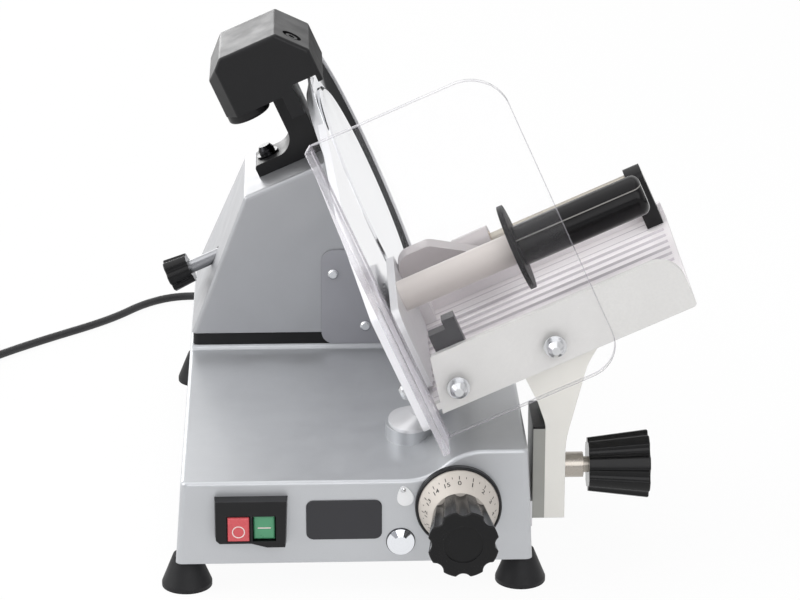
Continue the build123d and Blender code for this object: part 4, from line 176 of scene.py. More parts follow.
def srgb(red, green, blue):
    """Linear colour from 0 to 255 values as they are seen on a screen."""
    linear = []
    for value in (red, green, blue):
        value /= 255.0
        linear.append(value / 12.92 if value <= 0.04045 else ((value + 0.055) / 1.055) ** 2.4)
    return (*linear, 1.0)


def shade(colour, factor):
    """Linear colour made lighter or darker."""
    return (colour[0] * factor, colour[1] * factor, colour[2] * factor, 1.0)


class Nodes:
    """A node tree, built step by step. A value is a socket to link or a constant to write."""

    # Sockets of a Mix node that carry colours
    MIX_FIRST, MIX_SECOND, MIX_RESULT = 6, 7, 2
    # Usual range of a noise
    NOISE_LOW, NOISE_HIGH = 0.3, 0.7

    def __init__(self, tree):
        self.tree = tree

    def node(self, kind, **settings):
        made = self.tree.nodes.new(kind)
        for key, value in settings.items():
            setattr(made, key, value)
        return made

    def put(self, value, socket):
        if isinstance(value, bpy.types.NodeSocket):
            self.tree.links.new(value, socket)
        else:
            socket.default_value = value

    def maths(self, operation, *values):
        made = self.node("ShaderNodeMath", operation=operation)
        for value, socket in zip(values, made.inputs):
            self.put(value, socket)
        return made.outputs["Value"]

    def dot(self, first, second):
        made = self.node("ShaderNodeVectorMath", operation="DOT_PRODUCT")
        self.put(first, made.inputs[0])
        self.put(second, made.inputs[1])
        return made.outputs["Value"]

    def spread(self, value, low, high, start=NOISE_LOW, end=NOISE_HIGH):
        """Low at start and high at end, straight between them and held beyond."""
        made = self.node("ShaderNodeMapRange")
        self.put(value, made.inputs["Value"])
        self.put(start, made.inputs["From Min"])
        self.put(end, made.inputs["From Max"])
        self.put(low, made.inputs["To Min"])
        self.put(high, made.inputs["To Max"])
        return made.outputs["Result"]

    def share(self, mask, low, high):
        """Low where a mask is black and high where it is white."""
        return self.spread(mask, low, high, start=0.0, end=1.0)

    def mix(self, mask, first, second):
        """First colour where a mask is black and second where it is white."""
        made = self.node("ShaderNodeMix", data_type="RGBA")
        self.put(mask, made.inputs["Factor"])
        self.put(first, made.inputs[self.MIX_FIRST])
        self.put(second, made.inputs[self.MIX_SECOND])
        return made.outputs[self.MIX_RESULT]

    def rays(self, *kinds):
        """White for rays of these kinds and black for others."""
        path = self.node("ShaderNodeLightPath").outputs
        found = path[f"Is {kinds[0]} Ray"]
        for kind in kinds[1:]:
            found = self.maths("MAXIMUM", found, path[f"Is {kind} Ray"])
        return found


class Finish(Nodes):
    """Procedural material round a Principled BSDF, in the object's own coordinates."""

    # Agreement of the true and the rounded normal on a worn edge and on a flat face
    EDGE_WORN, EDGE_FLAT = 0.9, 0.995
    # What satin adds to the roughness of a polished metal, and what stays of its mirror
    SATIN_ROUGH, SATIN_METAL = 0.42, 0.25

    def __init__(self, name):
        self.material = bpy.data.materials.new(name)
        self.material.use_nodes = True
        super().__init__(self.material.node_tree)
        self.shader = self.tree.nodes["Principled BSDF"]
        self.coords = self.node("ShaderNodeTexCoord").outputs["Object"]

    def set(self, **values):
        for key, value in values.items():
            self.put(value, self.shader.inputs[key.replace("_", " ")])

    def now(self, name):
        """What feeds a socket of the shader so far."""
        return self.shader.inputs[name].links[0].from_socket

    def place(self, scale, leaning):
        """Coordinates stretched for a grain with a direction, along the blade's axes if leaning."""
        mapping = self.node("ShaderNodeMapping")
        self.put(scale, mapping.inputs["Scale"])
        self.put((0.0, -TILT if leaning else 0.0, 0.0), mapping.inputs["Rotation"])
        self.put(self.coords, mapping.inputs["Vector"])
        return mapping.outputs["Vector"]

    def noise(self, scale, detail, rough=0.55, where=None):
        made = self.node("ShaderNodeTexNoise")
        self.put(scale, made.inputs["Scale"])
        self.put(detail, made.inputs["Detail"])
        self.put(rough, made.inputs["Roughness"])
        self.put(where or self.coords, made.inputs["Vector"])
        return made.outputs["Fac"]

    def stripes(self, value, scale):
        """Noise of one value alone."""
        made = self.node("ShaderNodeTexNoise", noise_dimensions="1D")
        self.put(scale, made.inputs["Scale"])
        self.put(4.0, made.inputs["Detail"])
        self.put(value, made.inputs["W"])
        return made.outputs["Fac"]

    def rings(self, centre, scale):
        """Noise that changes only with the distance from a centre, as on a turned face."""
        shift = self.node("ShaderNodeVectorMath", operation="SUBTRACT")
        self.put(self.coords, shift.inputs[0])
        self.put(centre, shift.inputs[1])
        size = self.node("ShaderNodeVectorMath", operation="LENGTH")
        self.put(shift.outputs["Vector"], size.inputs[0])
        return self.stripes(size.outputs["Value"], scale)

    def along(self, axis):
        """Distance along an axis, in metres."""
        return self.dot(self.coords, axis)

    def facing(self, axis):
        """1 on faces that look along an axis and -1 on those that look against it."""
        return self.dot(self.node("ShaderNodeNewGeometry").outputs["True Normal"], axis)

    def soft_normal(self, radius):
        """Normal that turns gently over sharp edges."""
        bevel = self.node("ShaderNodeBevel", samples=4)
        self.put(radius, bevel.inputs["Radius"])
        return bevel.outputs["Normal"]

    def edge_mask(self, radius):
        """White along edges and black on flat faces."""
        flat = self.node("ShaderNodeNewGeometry").outputs["Normal"]
        same = self.dot(self.soft_normal(radius), flat)
        return self.spread(same, 1.0, 0.0, self.EDGE_WORN, self.EDGE_FLAT)

    def relief(self, height, strength, distance, edge):
        """Fine bumps, and a soft highlight along sharp edges."""
        made = self.node("ShaderNodeBump")
        self.put(strength, made.inputs["Strength"])
        self.put(distance, made.inputs["Distance"])
        self.put(height, made.inputs["Height"])
        self.put(self.soft_normal(edge), made.inputs["Normal"])
        self.set(Normal=made.outputs["Normal"])

    def mottle(self, colour, vary, cloud, grain, cover):
        """Colour, from 0 to 255 values, that drifts with a cloud and darkens in the grain."""
        base = srgb(*colour)
        pale, dark, deep = (shade(base, 1 + vary * step) for step in (1, -1, -2))
        tone = self.mix(self.spread(cloud, 0.0, 1.0), dark, pale)
        self.set(Base_Color=self.mix(self.spread(grain, 0.0, cover), tone, deep))

    def smear(self, rough, least, most, scale, detail):
        """Roughness that drifts between two shares of its value."""
        self.set(Roughness=self.spread(self.noise(scale, detail), rough * least, rough * most))

    def recolour(self, mask, colour):
        """Another colour, from 0 to 255 values, where the mask is white."""
        self.set(Base_Color=self.mix(mask, self.now("Base Color"), srgb(*colour)))

    def roughen(self, mask, amount):
        """Less gloss where the mask is white."""
        self.set(Roughness=self.maths("MULTIPLY_ADD", mask, amount, self.now("Roughness")))

    def satin(self, mask):
        """Polish taken off a metal where the mask is white."""
        self.roughen(mask, self.SATIN_ROUGH)
        self.set(Metallic=self.share(mask, 1.0, self.SATIN_METAL))


# How far edges look rounded, and how much the colour of brushed metal varies
PAINT_EDGE = 0.0006
BRUSHED_EDGE = 0.0004
TURNED_EDGE = 0.0003
BRUSHED_VARY = 0.05


def coated(name, colour, rough, metallic=0.0, vary=0.05, grain=900.0, dent=0.05, edge_wear_and_highlight=None,
           shine=0.5):
    """Paint, plastic or rubber: mottled, unevenly glossy and finely grained, with worn edges. On
    the grip, this pale edge colour is a painted highlight as well as wear.
    """
    finish = Finish(name)
    finish.set(Metallic=metallic, IOR=1.5, Specular_IOR_Level=shine)
    cloud = finish.noise(scale=14.0, detail=4.0)
    speck = finish.noise(scale=grain, detail=2.0)
    finish.mottle(colour, vary, cloud, speck, cover=0.35)
    finish.smear(rough, least=0.85, most=1.2, scale=45.0, detail=4.0)
    if edge_wear_and_highlight:
        rubbed = finish.noise(scale=120.0, detail=3.0)
        worn = finish.spread(rubbed, 0.0, 0.7, start=0.4, end=0.65)
        finish.recolour(finish.maths("MULTIPLY", finish.edge_mask(PAINT_EDGE), worn), edge_wear_and_highlight)
    finish.relief(speck, strength=dent, distance=0.0001, edge=PAINT_EDGE)
    return finish


def brushed(name, colour, rough, stretch=(1, 1, 1), leaning=False, grain=600.0, metallic=1.0):
    """Metal with fine lines along one direction."""
    finish = Finish(name)
    finish.set(Metallic=metallic)
    cloud = finish.noise(scale=10.0, detail=4.0)
    lines = finish.noise(scale=grain, detail=3.0, rough=0.6, where=finish.place(stretch, leaning))
    finish.mottle(colour, BRUSHED_VARY, cloud, lines, cover=0.5)
    finish.smear(rough, least=0.75, most=1.3, scale=30.0, detail=5.0)
    finish.relief(lines, strength=0.08, distance=0.00005, edge=BRUSHED_EDGE)
    return finish


def turned(name, colour, rough, centre, grain=2500.0):
    """Metal with fine rings about a centre."""
    finish = Finish(name)
    base = srgb(*colour)
    dark, pale = shade(base, 0.94), shade(base, 1.04)
    lines = finish.rings(centre, grain)
    finish.set(Base_Color=finish.mix(finish.spread(lines, 0.0, 1.0), dark, pale), Metallic=1.0)
    finish.smear(rough, least=0.75, most=1.35, scale=25.0, detail=5.0)
    finish.relief(lines, strength=0.1, distance=0.00004, edge=TURNED_EDGE)
    return finish


def blade_steel():
    """Polished face and a satin ground back."""
    finish = turned("blade_steel", (226, 227, 230), rough=0.045, centre=BLADE_CENTRE)
    finish.satin(finish.spread(finish.facing(AXIS_N), 1.0, 0.0, start=-0.35, end=-0.15))
    return finish


def gauge_steel():
    """Polished faces and satin edges."""
    finish = brushed("gauge_steel", (236, 236, 239), rough=0.10, stretch=(14, 1, 14), leaning=True,
                     grain=900.0)
    flat = finish.maths("ABSOLUTE", finish.facing(AXIS_N))
    finish.satin(finish.spread(flat, 1.0, 0.0, start=0.4, end=0.7))
    return finish


# Height along m from which the body's screws are the bolt and washer of the sharpener's bracket
BOLT_ABOVE = 0.2394


def screw_steel():
    """Bright screws, and the blackened bolt and washer that hold the sharpener's bracket."""
    finish = brushed("screw_steel", (205, 206, 208), rough=0.20, grain=900.0)
    finish.recolour(finish.maths("GREATER_THAN", finish.along(AXIS_M), BOLT_ABOVE), (46, 46, 48))
    return finish


# Food tray: where its ridged floor begins along y and up m, the first ridge and the pitch along y,
# the middle and half of the ridges' length along n, and the flank that carries painted shade, in
# shares of the pitch
RIDGES_FROM = -0.206
RIDGES_ABOVE = 0.1055
RIDGE_FIRST = -0.1825
RIDGE_PITCH = 0.0135
RIDGES_MIDDLE = 0.21025
RIDGES_HALF = 0.0985
FLANK_MIDDLE = 0.32
FLANK_HALF = 0.065
FLANK_SHADE_COVER = 0.6


def tray_alloy():
    """Grey front wall and a pale floor, with painted shade along the near flank of each ridge."""
    finish = brushed("tray_alloy", (219, 218, 216), rough=0.42, stretch=(1, 14, 1), leaning=True,
                     metallic=0.15)
    depth = finish.along(AXIS_Y)
    inside = finish.maths("GREATER_THAN", depth, RIDGES_FROM)
    top = finish.maths("GREATER_THAN", finish.along(AXIS_M), RIDGES_ABOVE)
    floor = finish.maths("MULTIPLY", inside, top)
    finish.recolour(floor, (243, 239, 241))
    # Painted shade: a dark band along the near flank of each ridge.
    pitches = finish.maths("MULTIPLY_ADD", depth, 1.0 / RIDGE_PITCH,
                           0.5 - RIDGE_FIRST / RIDGE_PITCH)
    flank = finish.maths("COMPARE", finish.maths("FRACT", pitches), FLANK_MIDDLE, FLANK_HALF)
    length = finish.maths("COMPARE", finish.along(AXIS_N), RIDGES_MIDDLE, RIDGES_HALF)
    flank_shade = finish.maths("MULTIPLY", finish.maths("MULTIPLY", flank, length), floor)
    finish.recolour(finish.share(flank_shade, 0.0, FLANK_SHADE_COVER), (162, 153, 163))
    return finish


# Hand grip: the height up m of its painted highlight line, half that line's width, and where the
# grip leaves its flange along n
GRIP_HIGHLIGHT_LINE = 0.1699
HIGHLIGHT_LINE_HALF = 0.0004
GRIP_FROM = 0.2085
FLANGE_ROUGH = 0.3


def grip_black():
    """Glossy grip with a pale painted highlight line along it and a satin flange."""
    # Its pale edge colour is a painted highlight along the edges as well as wear.
    finish = coated("grip_black", (13, 12, 14), rough=0.20, vary=0.08, grain=1300.0,
                    edge_wear_and_highlight=(64, 63, 66), shine=0.2)
    handle = finish.maths("GREATER_THAN", finish.along(AXIS_N), GRIP_FROM)
    # Painted highlight: a thin pale line along the handle.
    highlight_line = finish.maths("COMPARE", finish.along(AXIS_M), GRIP_HIGHLIGHT_LINE, HIGHLIGHT_LINE_HALF)
    finish.recolour(finish.maths("MULTIPLY", highlight_line, handle), (132, 130, 127))
    finish.roughen(finish.share(handle, 1.0, 0.0), FLANGE_ROUGH)
    return finish


# Clear guard: its bent strip ends along n from BEND_FULL to BEND_ENDS, with a crease between. A
# cover is how much of what lies behind is hidden, for sheet and strip seen square on and along.
BEND_FULL, BEND_ENDS = 0.1112, 0.1122
CREASE, CREASE_HALF = 0.1117, 0.0004
CREASE_COVER = 0.7
RIM_WIDTH = 0.0014
RIM_COVER = 0.92
STRIP_RIM = 0.15
SHEET_COVER = (0.025, 0.85)
STRIP_COVER = (0.26, 0.92)


def acrylic():
    """Clear sheet with faint rubbed marks: pale at a glance along it, a painted reflection, with a
    grey rim and a dark crease line of painted shade.

    The bent strip along its edge is brighter than the sheet, with pale streaks of painted
    reflection.
    """
    finish = Finish("clear_acrylic")
    edge = finish.edge_mask(RIM_WIDTH)
    along = finish.along(AXIS_N)
    bend = finish.spread(along, 1.0, 0.0, BEND_FULL, BEND_ENDS)
    # Painted shade: a grey line along the edges, and a dark line along the crease.
    rim = finish.maths("MULTIPLY", edge, finish.share(bend, 1.0, STRIP_RIM))
    crease = finish.share(finish.maths("COMPARE", along, CREASE, CREASE_HALF), 0.0, CREASE_COVER)
    cloud = finish.spread(finish.noise(scale=9.0, detail=3.0), 0.0, 1.0)
    # Painted reflection: pale streaks along the bent strip.
    lines = finish.spread(finish.stripes(along, scale=700.0), 0.0, 1.0)
    sheet = finish.mix(cloud, srgb(251, 250, 252), srgb(246, 244, 249))
    strip = finish.mix(lines, srgb(254, 253, 255), srgb(234, 228, 240))
    finish.set(Base_Color=finish.mix(bend, sheet, strip))
    finish.recolour(rim, (166, 163, 172))
    finish.recolour(crease, (112, 107, 116))
    # Painted reflection: sheet and strip turn pale and hide what lies behind when seen at a glance.
    slant = finish.node("ShaderNodeLayerWeight").outputs["Facing"]
    glance = finish.spread(slant, *STRIP_COVER, start=0.55, end=0.86)
    bright = finish.maths("MAXIMUM", glance, finish.share(edge, 0.0, RIM_COVER))
    cover = finish.spread(slant, *SHEET_COVER, start=0.45, end=0.92)
    layers = finish.share(rim, 0.0, RIM_COVER), finish.maths("MULTIPLY", bend, bright), crease
    for layer in layers:
        cover = finish.maths("MAXIMUM", cover, layer)
    where = finish.place((1, 1, 6), leaning=True)
    rubbed = finish.noise(scale=60.0, detail=5.0, rough=0.6, where=where)
    finish.set(Transmission_Weight=0.4, IOR=1.14, Alpha=cover,
               Roughness=finish.spread(rubbed, 0.015, 0.05))
    waves = finish.noise(scale=18.0, detail=2.0)
    finish.relief(waves, strength=0.05, distance=0.002, edge=0.0008)
    return finish


# Finishes of the record's slots. The chrome's rings run round the end of the slide rod.
ROD_END = (0.0338, -0.2269, 0.0403)
FINISHES = {
    "silver_paint": coated("silver_paint", (190, 192, 195), rough=0.36, metallic=0.55, vary=0.03,
                           grain=1500.0, dent=0.06, edge_wear_and_highlight=(225, 226, 228)),
    "grey_paint": coated("grey_paint", (167, 168, 171), rough=0.34, metallic=0.55, vary=0.03,
                         grain=1500.0, dent=0.06, edge_wear_and_highlight=(220, 220, 222)),
    "anodised": brushed("anodised", (222, 222, 224), rough=0.36, stretch=(1, 14, 1), leaning=True,
                        metallic=0.45),
    "offwhite_paint": coated("offwhite_paint", (235, 233, 227), rough=0.42, vary=0.025,
                             grain=1200.0, dent=0.08, edge_wear_and_highlight=(196, 194, 190)),
    "bright_steel": brushed("bright_steel", (214, 215, 217), rough=0.16, stretch=(1, 10, 10),
                            leaning=True),
    "inner_steel": brushed("inner_steel", (150, 151, 154), rough=0.30, stretch=(1, 8, 8)),
    "chrome": turned("chrome", (232, 234, 238), rough=0.05, centre=ROD_END),
    "fasteners": brushed("fasteners", (205, 206, 208), rough=0.20, grain=900.0),
    "brass": brushed("brass", (196, 160, 88), rough=0.26, stretch=(1, 1, 6)),
    "black_plastic": coated("black_plastic", (17, 17, 19), rough=0.36, vary=0.10, grain=1300.0,
                            dent=0.12, edge_wear_and_highlight=(58, 57, 60), shine=0.3),
    "grey_plastic": coated("grey_plastic", (206, 199, 195), rough=0.34, grain=1000.0, dent=0.08),
    "pale_plate": coated("pale_plate", (158, 158, 163), rough=0.36, metallic=0.5, vary=0.03,
                         grain=1500.0),
    "red_button": coated("red_button", (205, 82, 88), rough=0.28),
    "green_button": coated("green_button", (80, 152, 112), rough=0.28),
    "cream_plastic": coated("cream_plastic", (207, 200, 192), rough=0.42, vary=0.03),
    "rubber": coated("rubber", (24, 24, 26), rough=0.55, vary=0.12, grain=1100.0, dent=0.2,
                     edge_wear_and_highlight=(44, 44, 46), shine=0.3),
    "motor_paint": coated("motor_paint", (70, 76, 84), rough=0.45, vary=0.06, grain=800.0,
                          dent=0.2),
    "abrasive": coated("abrasive", (128, 110, 96), rough=0.85, vary=0.15, grain=2200.0, dent=0.8),
    "cord_black": coated("cord_black", (30, 30, 32), rough=0.48, vary=0.10, grain=700.0, dent=0.1),
    "clear_acrylic": acrylic(),
}

# Nodes that look different from the rest of their slot
GLOSS_BLACK = coated("gloss_black", (18, 18, 19), rough=0.17, vary=0.08, grain=1300.0,
                     edge_wear_and_highlight=(50, 50, 52), shine=0.22)
NODE_FINISHES = {
    "blade": blade_steel(),
    "blade_cover": turned("cover_steel", (232, 233, 236), rough=0.10, centre=BLADE_CENTRE,
                          grain=1200.0),
    "body_screws": screw_steel(),
    "gauge_plate": gauge_steel(),
    "food_tray": tray_alloy(),
    "pusher_rod": brushed("rod_steel", (168, 162, 152), rough=0.32, stretch=(1, 10, 10),
                          leaning=True, metallic=0.6),
    "pusher_grip": grip_black(),
    "tray_block": coated("block_grey", (46, 45, 49), rough=0.40, vary=0.08, grain=1300.0,
                         dent=0.10, edge_wear_and_highlight=(88, 86, 90)),
    "dial_knob": GLOSS_BLACK,
    "clamp_knob": GLOSS_BLACK,
    "tie_rod_knob": GLOSS_BLACK,
    "arm_bracket": brushed("bracket_steel", (154, 154, 150), rough=0.34, stretch=(1, 1, 10)),
    "clamp_stud": brushed("stud_steel", (170, 164, 156), rough=0.28, stretch=(6, 1, 1)),
    "pusher_arm": coated("cast_grey", (188, 182, 183), rough=0.38, metallic=0.2, grain=1100.0,
                         dent=0.12, edge_wear_and_highlight=(214, 210, 210)),
}


def paint(piece, finish):
    """Give a piece one finish all over."""
    if not piece.material_slots:
        piece.data.materials.append(finish.material)
    for slot in piece.material_slots:
        slot.material = finish.material


for row in frame["record"]["subparts"]:
    name = row["node"]
    paint(NODES[name], NODE_FINISHES.get(name, FINISHES[row["material_slot"]]))


def mesh_piece(name, build, body, finish):
    """New piece from a bmesh, riding on a body, with one finish all over."""
    shape = bmesh.new()
    build(shape)
    bmesh.ops.recalc_face_normals(shape, faces=shape.faces)
    data = bpy.data.meshes.new(name)
    shape.to_mesh(data)
    shape.free()
    piece = add(name, data)
    paint(piece, finish)
    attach(piece, body)
    return piece


def on_front(y):
    """Map x, z and a height out of a plane that faces the operator."""
    return lambda u, v, out: Vector((u * MM, (y - out) * MM, v * MM))


def band(shape, first, second):
    """Faces between two closed rows of points."""
    for index in range(len(first)):
        after = (index + 1) % len(first)
        shape.faces.new((first[index], first[after], second[after], second[index]))


def slab(shape, outline, place, thickness, bevel=0.0):
    """Flat plate from an outline: place maps (u, v, out) to the world."""
    low = [shape.verts.new(place(u, v, 0.0)) for u, v in outline]
    high = [shape.verts.new(place(u, v, thickness)) for u, v in outline]
    shape.faces.new(low)
    top = shape.faces.new(high)
    band(shape, low, high)
    if bevel:
        bmesh.ops.bevel(shape, geom=list(top.edges), offset=bevel * MM, segments=2, affect="EDGES")


def circle(radius, centre, count):
    turns = [2 * math.pi * index / count for index in range(count)]
    return [(centre[0] + radius * math.cos(turn), centre[1] + radius * math.sin(turn))
            for turn in turns]


def ring(shape, inner, outer, place, thickness, centre):
    """Flat ring with square edges."""
    rims = []
    for radius, out in ((inner, 0.0), (inner, thickness), (outer, thickness), (outer, 0.0)):
        outline = circle(radius, centre, count=48)
        rims.append([shape.verts.new(place(u, v, out)) for u, v in outline])
    for first, second in zip(rims, rims[1:] + rims[:1]):
        band(shape, first, second)


def rounded_box(x, z, radius, steps=6):
    """Outline of a box with round corners."""
    points = []
    corners = ((x[1], z[1], 0), (x[0], z[1], 90), (x[0], z[0], 180), (x[1], z[0], 270))
    for corner_x, corner_z, start in corners:
        middle_x = corner_x - radius if corner_x == x[1] else corner_x + radius
        middle_z = corner_z - radius if corner_z == z[1] else corner_z + radius
        for step in range(steps + 1):
            angle = math.radians(start + 90 * step / steps)
            points.append((middle_x + radius * math.cos(angle),
                           middle_z + radius * math.sin(angle)))
    return points


# Ring and bar on the buttons
INK_PALE = coated("ink_pale", (244, 226, 222), rough=0.5, vary=0.03, dent=0.03)
MARK_THICKNESS = 0.12
STOP_FACE = -234.0
STOP_CENTRE = (-83.7, 54.0)
STOP_INNER, STOP_OUTER = 3.9, 4.7
START_FACE = -230.0
START_X = -65.1
BAR_HALF = 4.8
BAR_Z = (54.9, 55.8)
BAR_ROUND = 0.4


def stop_mark(shape):
    ring(shape, STOP_INNER, STOP_OUTER, on_front(STOP_FACE), MARK_THICKNESS, STOP_CENTRE)


def start_mark(shape):
    outline = rounded_box((START_X - BAR_HALF, START_X + BAR_HALF), BAR_Z, BAR_ROUND)
    slab(shape, outline, on_front(START_FACE), MARK_THICKNESS)


mesh_piece("stop_mark", stop_mark, "stop_button_cap", INK_PALE)
mesh_piece("start_mark", start_mark, "start_button_cap", INK_PALE)

# Bare plate on the front panel, and a thin dark ring of painted shade in the gap round the end
# of the slide rod
# Dark finish of the bare plate, also used for the painted shade round the rod's end.
PLATE_AND_GAP_SHADE = coated("plate_and_gap_shade", (44, 44, 48), rough=0.34, metallic=0.2, vary=0.06, grain=1200.0,
                    edge_wear_and_highlight=(92, 92, 96))
PLATE_X, PLATE_Z = (-34.7, 20.2), (43.0, 73.5)
PLATE_ROUND = 5.0
PLATE_THICKNESS = 0.8
PLATE_BEVEL = 0.3
GAP_SHADE_CENTRE = (33.8, 40.3)
GAP_SHADE_INNER, GAP_SHADE_OUTER = 10.1, 10.7
GAP_SHADE_THICKNESS = 0.15


def front_plate(shape):
    outline = rounded_box(PLATE_X, PLATE_Z, PLATE_ROUND)
    slab(shape, outline, on_front(FRONT), PLATE_THICKNESS, PLATE_BEVEL)


# Painted shade: a dark ring in the gap round the rod's end.
def rod_rim(shape):
    ring(shape, GAP_SHADE_INNER, GAP_SHADE_OUTER, on_front(FRONT), GAP_SHADE_THICKNESS, GAP_SHADE_CENTRE)


mesh_piece("front_plate", front_plate, "base", PLATE_AND_GAP_SHADE)
mesh_piece("rod_rim", rod_rim, "base", PLATE_AND_GAP_SHADE)

# Oil tag, a leaning drop, with its small cap
TAG_WHITE = coated("tag_white", (236, 237, 238), rough=0.4, vary=0.03, dent=0.03)
TAG_X = 36.9
TAG_LOW, TAG_HIGH = 68.6, 84.2
TAG_WIDTH = 12.4
TAG_LEAN = math.radians(12.0)
TAG_THICKNESS = 0.9
TAG_BEVEL = 0.25
DROP_POINTS = 48
DROP_FULL = 0.34
DROP_WIDEST = 1.06
CAP_CENTRE = (35.6, 81.2)
CAP_RADIUS = 2.0
CAP_HEIGHT = 1.2
CAP_ROWS = 6
CAP_POINTS = 32


def drop(width, low, high):
    """Outline of a drop: full and round below, narrow and round above."""
    points = []
    for index in range(DROP_POINTS):
        turn = 2 * math.pi * index / DROP_POINTS
        across = math.sin(turn) * (1 + DROP_FULL * math.cos(turn)) / DROP_WIDEST
        points.append((width / 2 * across, low + (high - low) * (1 - math.cos(turn)) / 2))
    return points


def oil_tag(shape):
    place = on_front(FRONT)
    middle = (TAG_LOW + TAG_HIGH) / 2

    def leaning(u, v, out):
        v -= middle
        x = u * math.cos(TAG_LEAN) - v * math.sin(TAG_LEAN)
        z = u * math.sin(TAG_LEAN) + v * math.cos(TAG_LEAN)
        return place(TAG_X + x, middle + z, out)

    slab(shape, drop(TAG_WIDTH, TAG_LOW, TAG_HIGH), leaning, TAG_THICKNESS, TAG_BEVEL)


def oil_cap(shape):
    """Low dome on the tag."""
    place = on_front(FRONT - TAG_THICKNESS)
    rims = []
    for row in range(CAP_ROWS):
        rise = row / CAP_ROWS * math.pi / 2
        outline = circle(CAP_RADIUS * math.cos(rise), CAP_CENTRE, CAP_POINTS)
        out = CAP_HEIGHT * math.sin(rise)
        rims.append([shape.verts.new(place(u, v, out)) for u, v in outline])
    top = shape.verts.new(place(*CAP_CENTRE, CAP_HEIGHT))
    for first, second in zip(rims, rims[1:]):
        band(shape, first, second)
    for index in range(CAP_POINTS):
        shape.faces.new((rims[-1][index], rims[-1][(index + 1) % CAP_POINTS], top))
    shape.faces.new(list(reversed(rims[0])))


mesh_piece("oil_tag", oil_tag, "base", TAG_WHITE)
cap = mesh_piece("oil_cap", oil_cap, "base", FINISHES["fasteners"])
for face in cap.data.polygons:
    face.use_smooth = True

# Numbers and ticks on the dial's cone, whose ends are given as height off the panel and radius
INK_DARK = coated("ink_dark", (48, 44, 42), rough=0.55, vary=0.08, dent=0.03)
DIAL_X, DIAL_Z = 75.6, 68.5
CONE_LOW = (4.4, 29.3)
CONE_HIGH = (25.0, 20.2)
CONE_RISE = CONE_HIGH[0] - CONE_LOW[0]
CONE_TAPER = CONE_LOW[1] - CONE_HIGH[1]
CONE_SLANT = math.hypot(CONE_RISE, CONE_TAPER)
DIVISIONS = 16
NUMBER_SIZE = 5.8
NUMBER_WEIGHT = 0.07
NUMBER_AT = 12.9
TICK_SPAN, TICK_WIDTH = (5.8, 9.3), 0.62
HALF_TICK_SPAN, HALF_TICK_WIDTH = (6.6, 8.4), 0.5
MARK_LIFT = 0.06


def cone_radius(up):
    """Radius of the cone at a distance up its slant."""
    return CONE_LOW[1] - up / CONE_SLANT * CONE_TAPER


def on_cone(across, up):
    """Point just off the cone: degrees clockwise from the top, and up the slant from the panel."""
    out = CONE_LOW[0] + (up * CONE_RISE + MARK_LIFT * CONE_TAPER) / CONE_SLANT
    radius = cone_radius(up) + MARK_LIFT * CONE_RISE / CONE_SLANT
    angle = math.radians(across)
    x = DIAL_X + radius * math.sin(angle)
    z = DIAL_Z + radius * math.cos(angle)
    return on_front(FRONT)(x, z, out)


def number_mesh(text):
    """Flat mesh of a number, centred, in millimetres."""
    curve = bpy.data.curves.new("number", "FONT")
    curve.body = text
    curve.size = NUMBER_SIZE
    curve.align_x = "CENTER"
    curve.align_y = "CENTER"
    curve.resolution_u = 3
    curve.offset = NUMBER_WEIGHT
    holder = add("number", curve)
    mesh = bpy.data.meshes.new_from_object(holder)
    bpy.data.objects.remove(holder)
    bpy.data.curves.remove(curve)
    return mesh


def tick(shape, spot, span, width):
    """Straight line up the cone at a spot in degrees."""
    half = math.degrees(width / 2 / cone_radius(span[0]))
    corners = ((spot - half, span[0]), (spot + half, span[0]),
               (spot + half, span[1]), (spot - half, span[1]))
    shape.faces.new([shape.verts.new(on_cone(*corner)) for corner in corners])


def dial_marks(shape):
    step = 360.0 / DIVISIONS
    for index in range(DIVISIONS):
        middle = index * step
        mesh = number_mesh(str(index))
        made = []
        for vert in mesh.vertices:
            up = NUMBER_AT - vert.co.y
            across = middle + math.degrees(vert.co.x / cone_radius(up))
            made.append(shape.verts.new(on_cone(across, up)))
        for face in mesh.polygons:
            shape.faces.new([made[corner] for corner in face.vertices])
        bpy.data.meshes.remove(mesh)
        tick(shape, middle, TICK_SPAN, TICK_WIDTH)
        tick(shape, middle + step / 2, HALF_TICK_SPAN, HALF_TICK_WIDTH)


mesh_piece("dial_marks", dial_marks, "dial", INK_DARK)

# Black strip laid on the top of the arm bracket
low, high = (Vector(corner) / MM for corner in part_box("arm_bracket"))
STRIP_ROUND = 1.2
STRIP_THICKNESS = 1.6
STRIP_BEVEL = 0.4


def bracket_cap(shape):
    outline = rounded_box((low.x, high.x), (low.y, high.y), STRIP_ROUND)
    slab(shape, outline, lambda u, v, out: Vector((u * MM, v * MM, (high.z + out) * MM)),
         STRIP_THICKNESS, STRIP_BEVEL)


mesh_piece("bracket_cap", bracket_cap, "carriage", FINISHES["black_plastic"])

# The cord is one free curve with its plug and tie
paint(mains_cord, FINISHES["cord_black"])
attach(mains_cord, "base")
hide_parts("power_cord", "cord_coil")

# Floor: white with a soft shadow to the camera. In what metal mirrors, it turns dark from
# DARK_STARTS to DARK_FULL along DARK_SIDE, at the back on the right.
FLOOR_HALF = 9.0
FLOOR_THICKNESS = 0.02
FLOOR_GLOW = 0.94
DARK_SIDE = (0.65, 0.76, 0.0)
DARK_STARTS, DARK_FULL = 1.30, 1.60


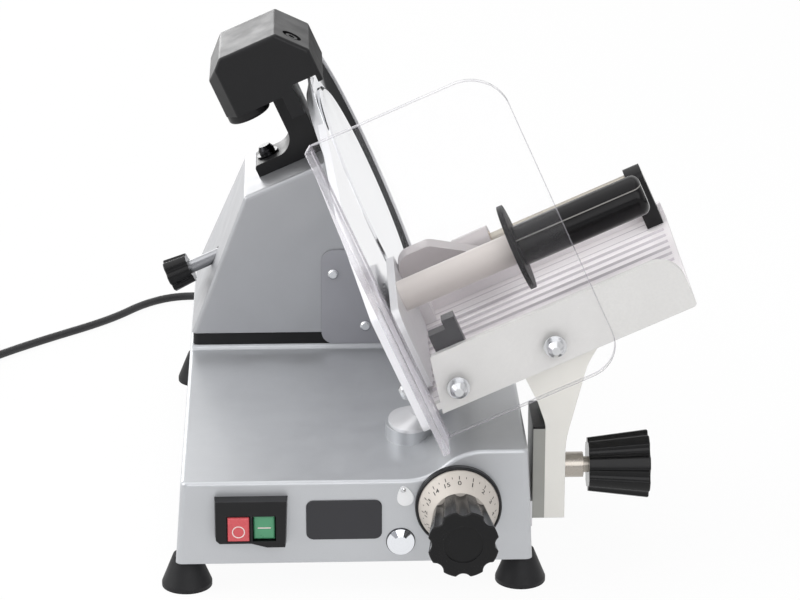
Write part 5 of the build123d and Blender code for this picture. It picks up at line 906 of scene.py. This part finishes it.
def floor_material():
    finish = Finish("floor_white")
    cloud = finish.spread(finish.noise(scale=3.0, detail=2.0), 0.0, 1.0)
    finish.set(Base_Color=finish.mix(cloud, srgb(250, 250, 250), srgb(248, 248, 248)),
               Roughness=0.9, Specular_IOR_Level=0.0)
    mirrored = finish.spread(finish.along(DARK_SIDE), 1.0, 0.0, DARK_STARTS, DARK_FULL)
    seen = finish.rays("Camera", "Transmission")
    shown = finish.rays("Camera", "Transmission", "Glossy")
    glow = finish.node("ShaderNodeEmission")
    finish.put(WHITE, glow.inputs["Color"])
    finish.put(finish.maths("MAXIMUM", mirrored, seen), glow.inputs["Strength"])
    blend = finish.node("ShaderNodeMixShader")
    finish.put(finish.maths("MULTIPLY", shown, FLOOR_GLOW), blend.inputs[0])
    finish.put(finish.shader.outputs["BSDF"], blend.inputs[1])
    finish.put(glow.outputs["Emission"], blend.inputs[2])
    finish.put(blend.outputs["Shader"], finish.tree.nodes["Material Output"].inputs["Surface"])
    return finish.material


corners = [(-FLOOR_HALF, -FLOOR_HALF), (FLOOR_HALF, -FLOOR_HALF),
           (FLOOR_HALF, FLOOR_HALF), (-FLOOR_HALF, FLOOR_HALF)]
floor_shape = bmesh.new()
slab(floor_shape, corners, lambda u, v, out: Vector((u, v, out - FLOOR_THICKNESS)), FLOOR_THICKNESS)
floor_data = bpy.data.meshes.new("floor")
floor_shape.to_mesh(floor_data)
floor_shape.free()
ground = add("floor", floor_data)
floor_data.materials.append(floor_material())

# Surroundings: white to the camera, and to other rays greyer on the operator's side, from NEAR_ENDS
# to NEAR_FULL of a direction along y. Their light on dull surfaces is cut to SKY_LIGHT.
SKY_NEAR = (0.45, 0.45, 0.47, 1.0)
NEAR_FULL, NEAR_ENDS = -0.95, 0.2
SKY_LIGHT = 0.55
world = bpy.data.worlds.new("studio")
world.use_nodes = True
scene.world = world
studio = Nodes(world.node_tree)
background = world.node_tree.nodes["Background"].inputs
direction = studio.node("ShaderNodeTexCoord").outputs["Generated"]
away = studio.spread(studio.dot(direction, AXIS_Y), 0.0, 1.0, NEAR_FULL, NEAR_ENDS)
sky = studio.mix(away, SKY_NEAR, WHITE)
studio.put(studio.mix(studio.rays("Camera"), sky, WHITE), background["Color"])
shown = studio.rays("Camera", "Glossy", "Transmission")
studio.put(studio.share(shown, SKY_LIGHT, 1.0), background["Strength"])


def lamp(name, place, target, size, power):
    """Soft box at a place, turned to a target."""
    data = bpy.data.lights.new(name, "AREA")
    data.shape = "RECTANGLE"
    data.size, data.size_y = size
    data.energy = power
    made = add(name, data)
    made.location = place
    made.rotation_euler = (Vector(target) - Vector(place)).to_track_quat("-Z", "Y").to_euler()


lamp("overhead", (-0.5, 0.1, 2.4), target=(0.0, 0.0, 0.1), size=(3.4, 3.0), power=27.0)
lamp("left", (-2.4, -0.4, 1.5), target=(0.0, 0.0, 0.15), size=(2.2, 2.0), power=33.0)
lamp("front", (0.7, -2.7, 1.5), target=(0.05, 0.0, 0.15), size=(3.0, 2.0), power=37.0)
lamp("back", (-1.1, 2.4, 0.5), target=(0.0, 0.0, 0.22), size=(1.8, 0.8), power=16.0)
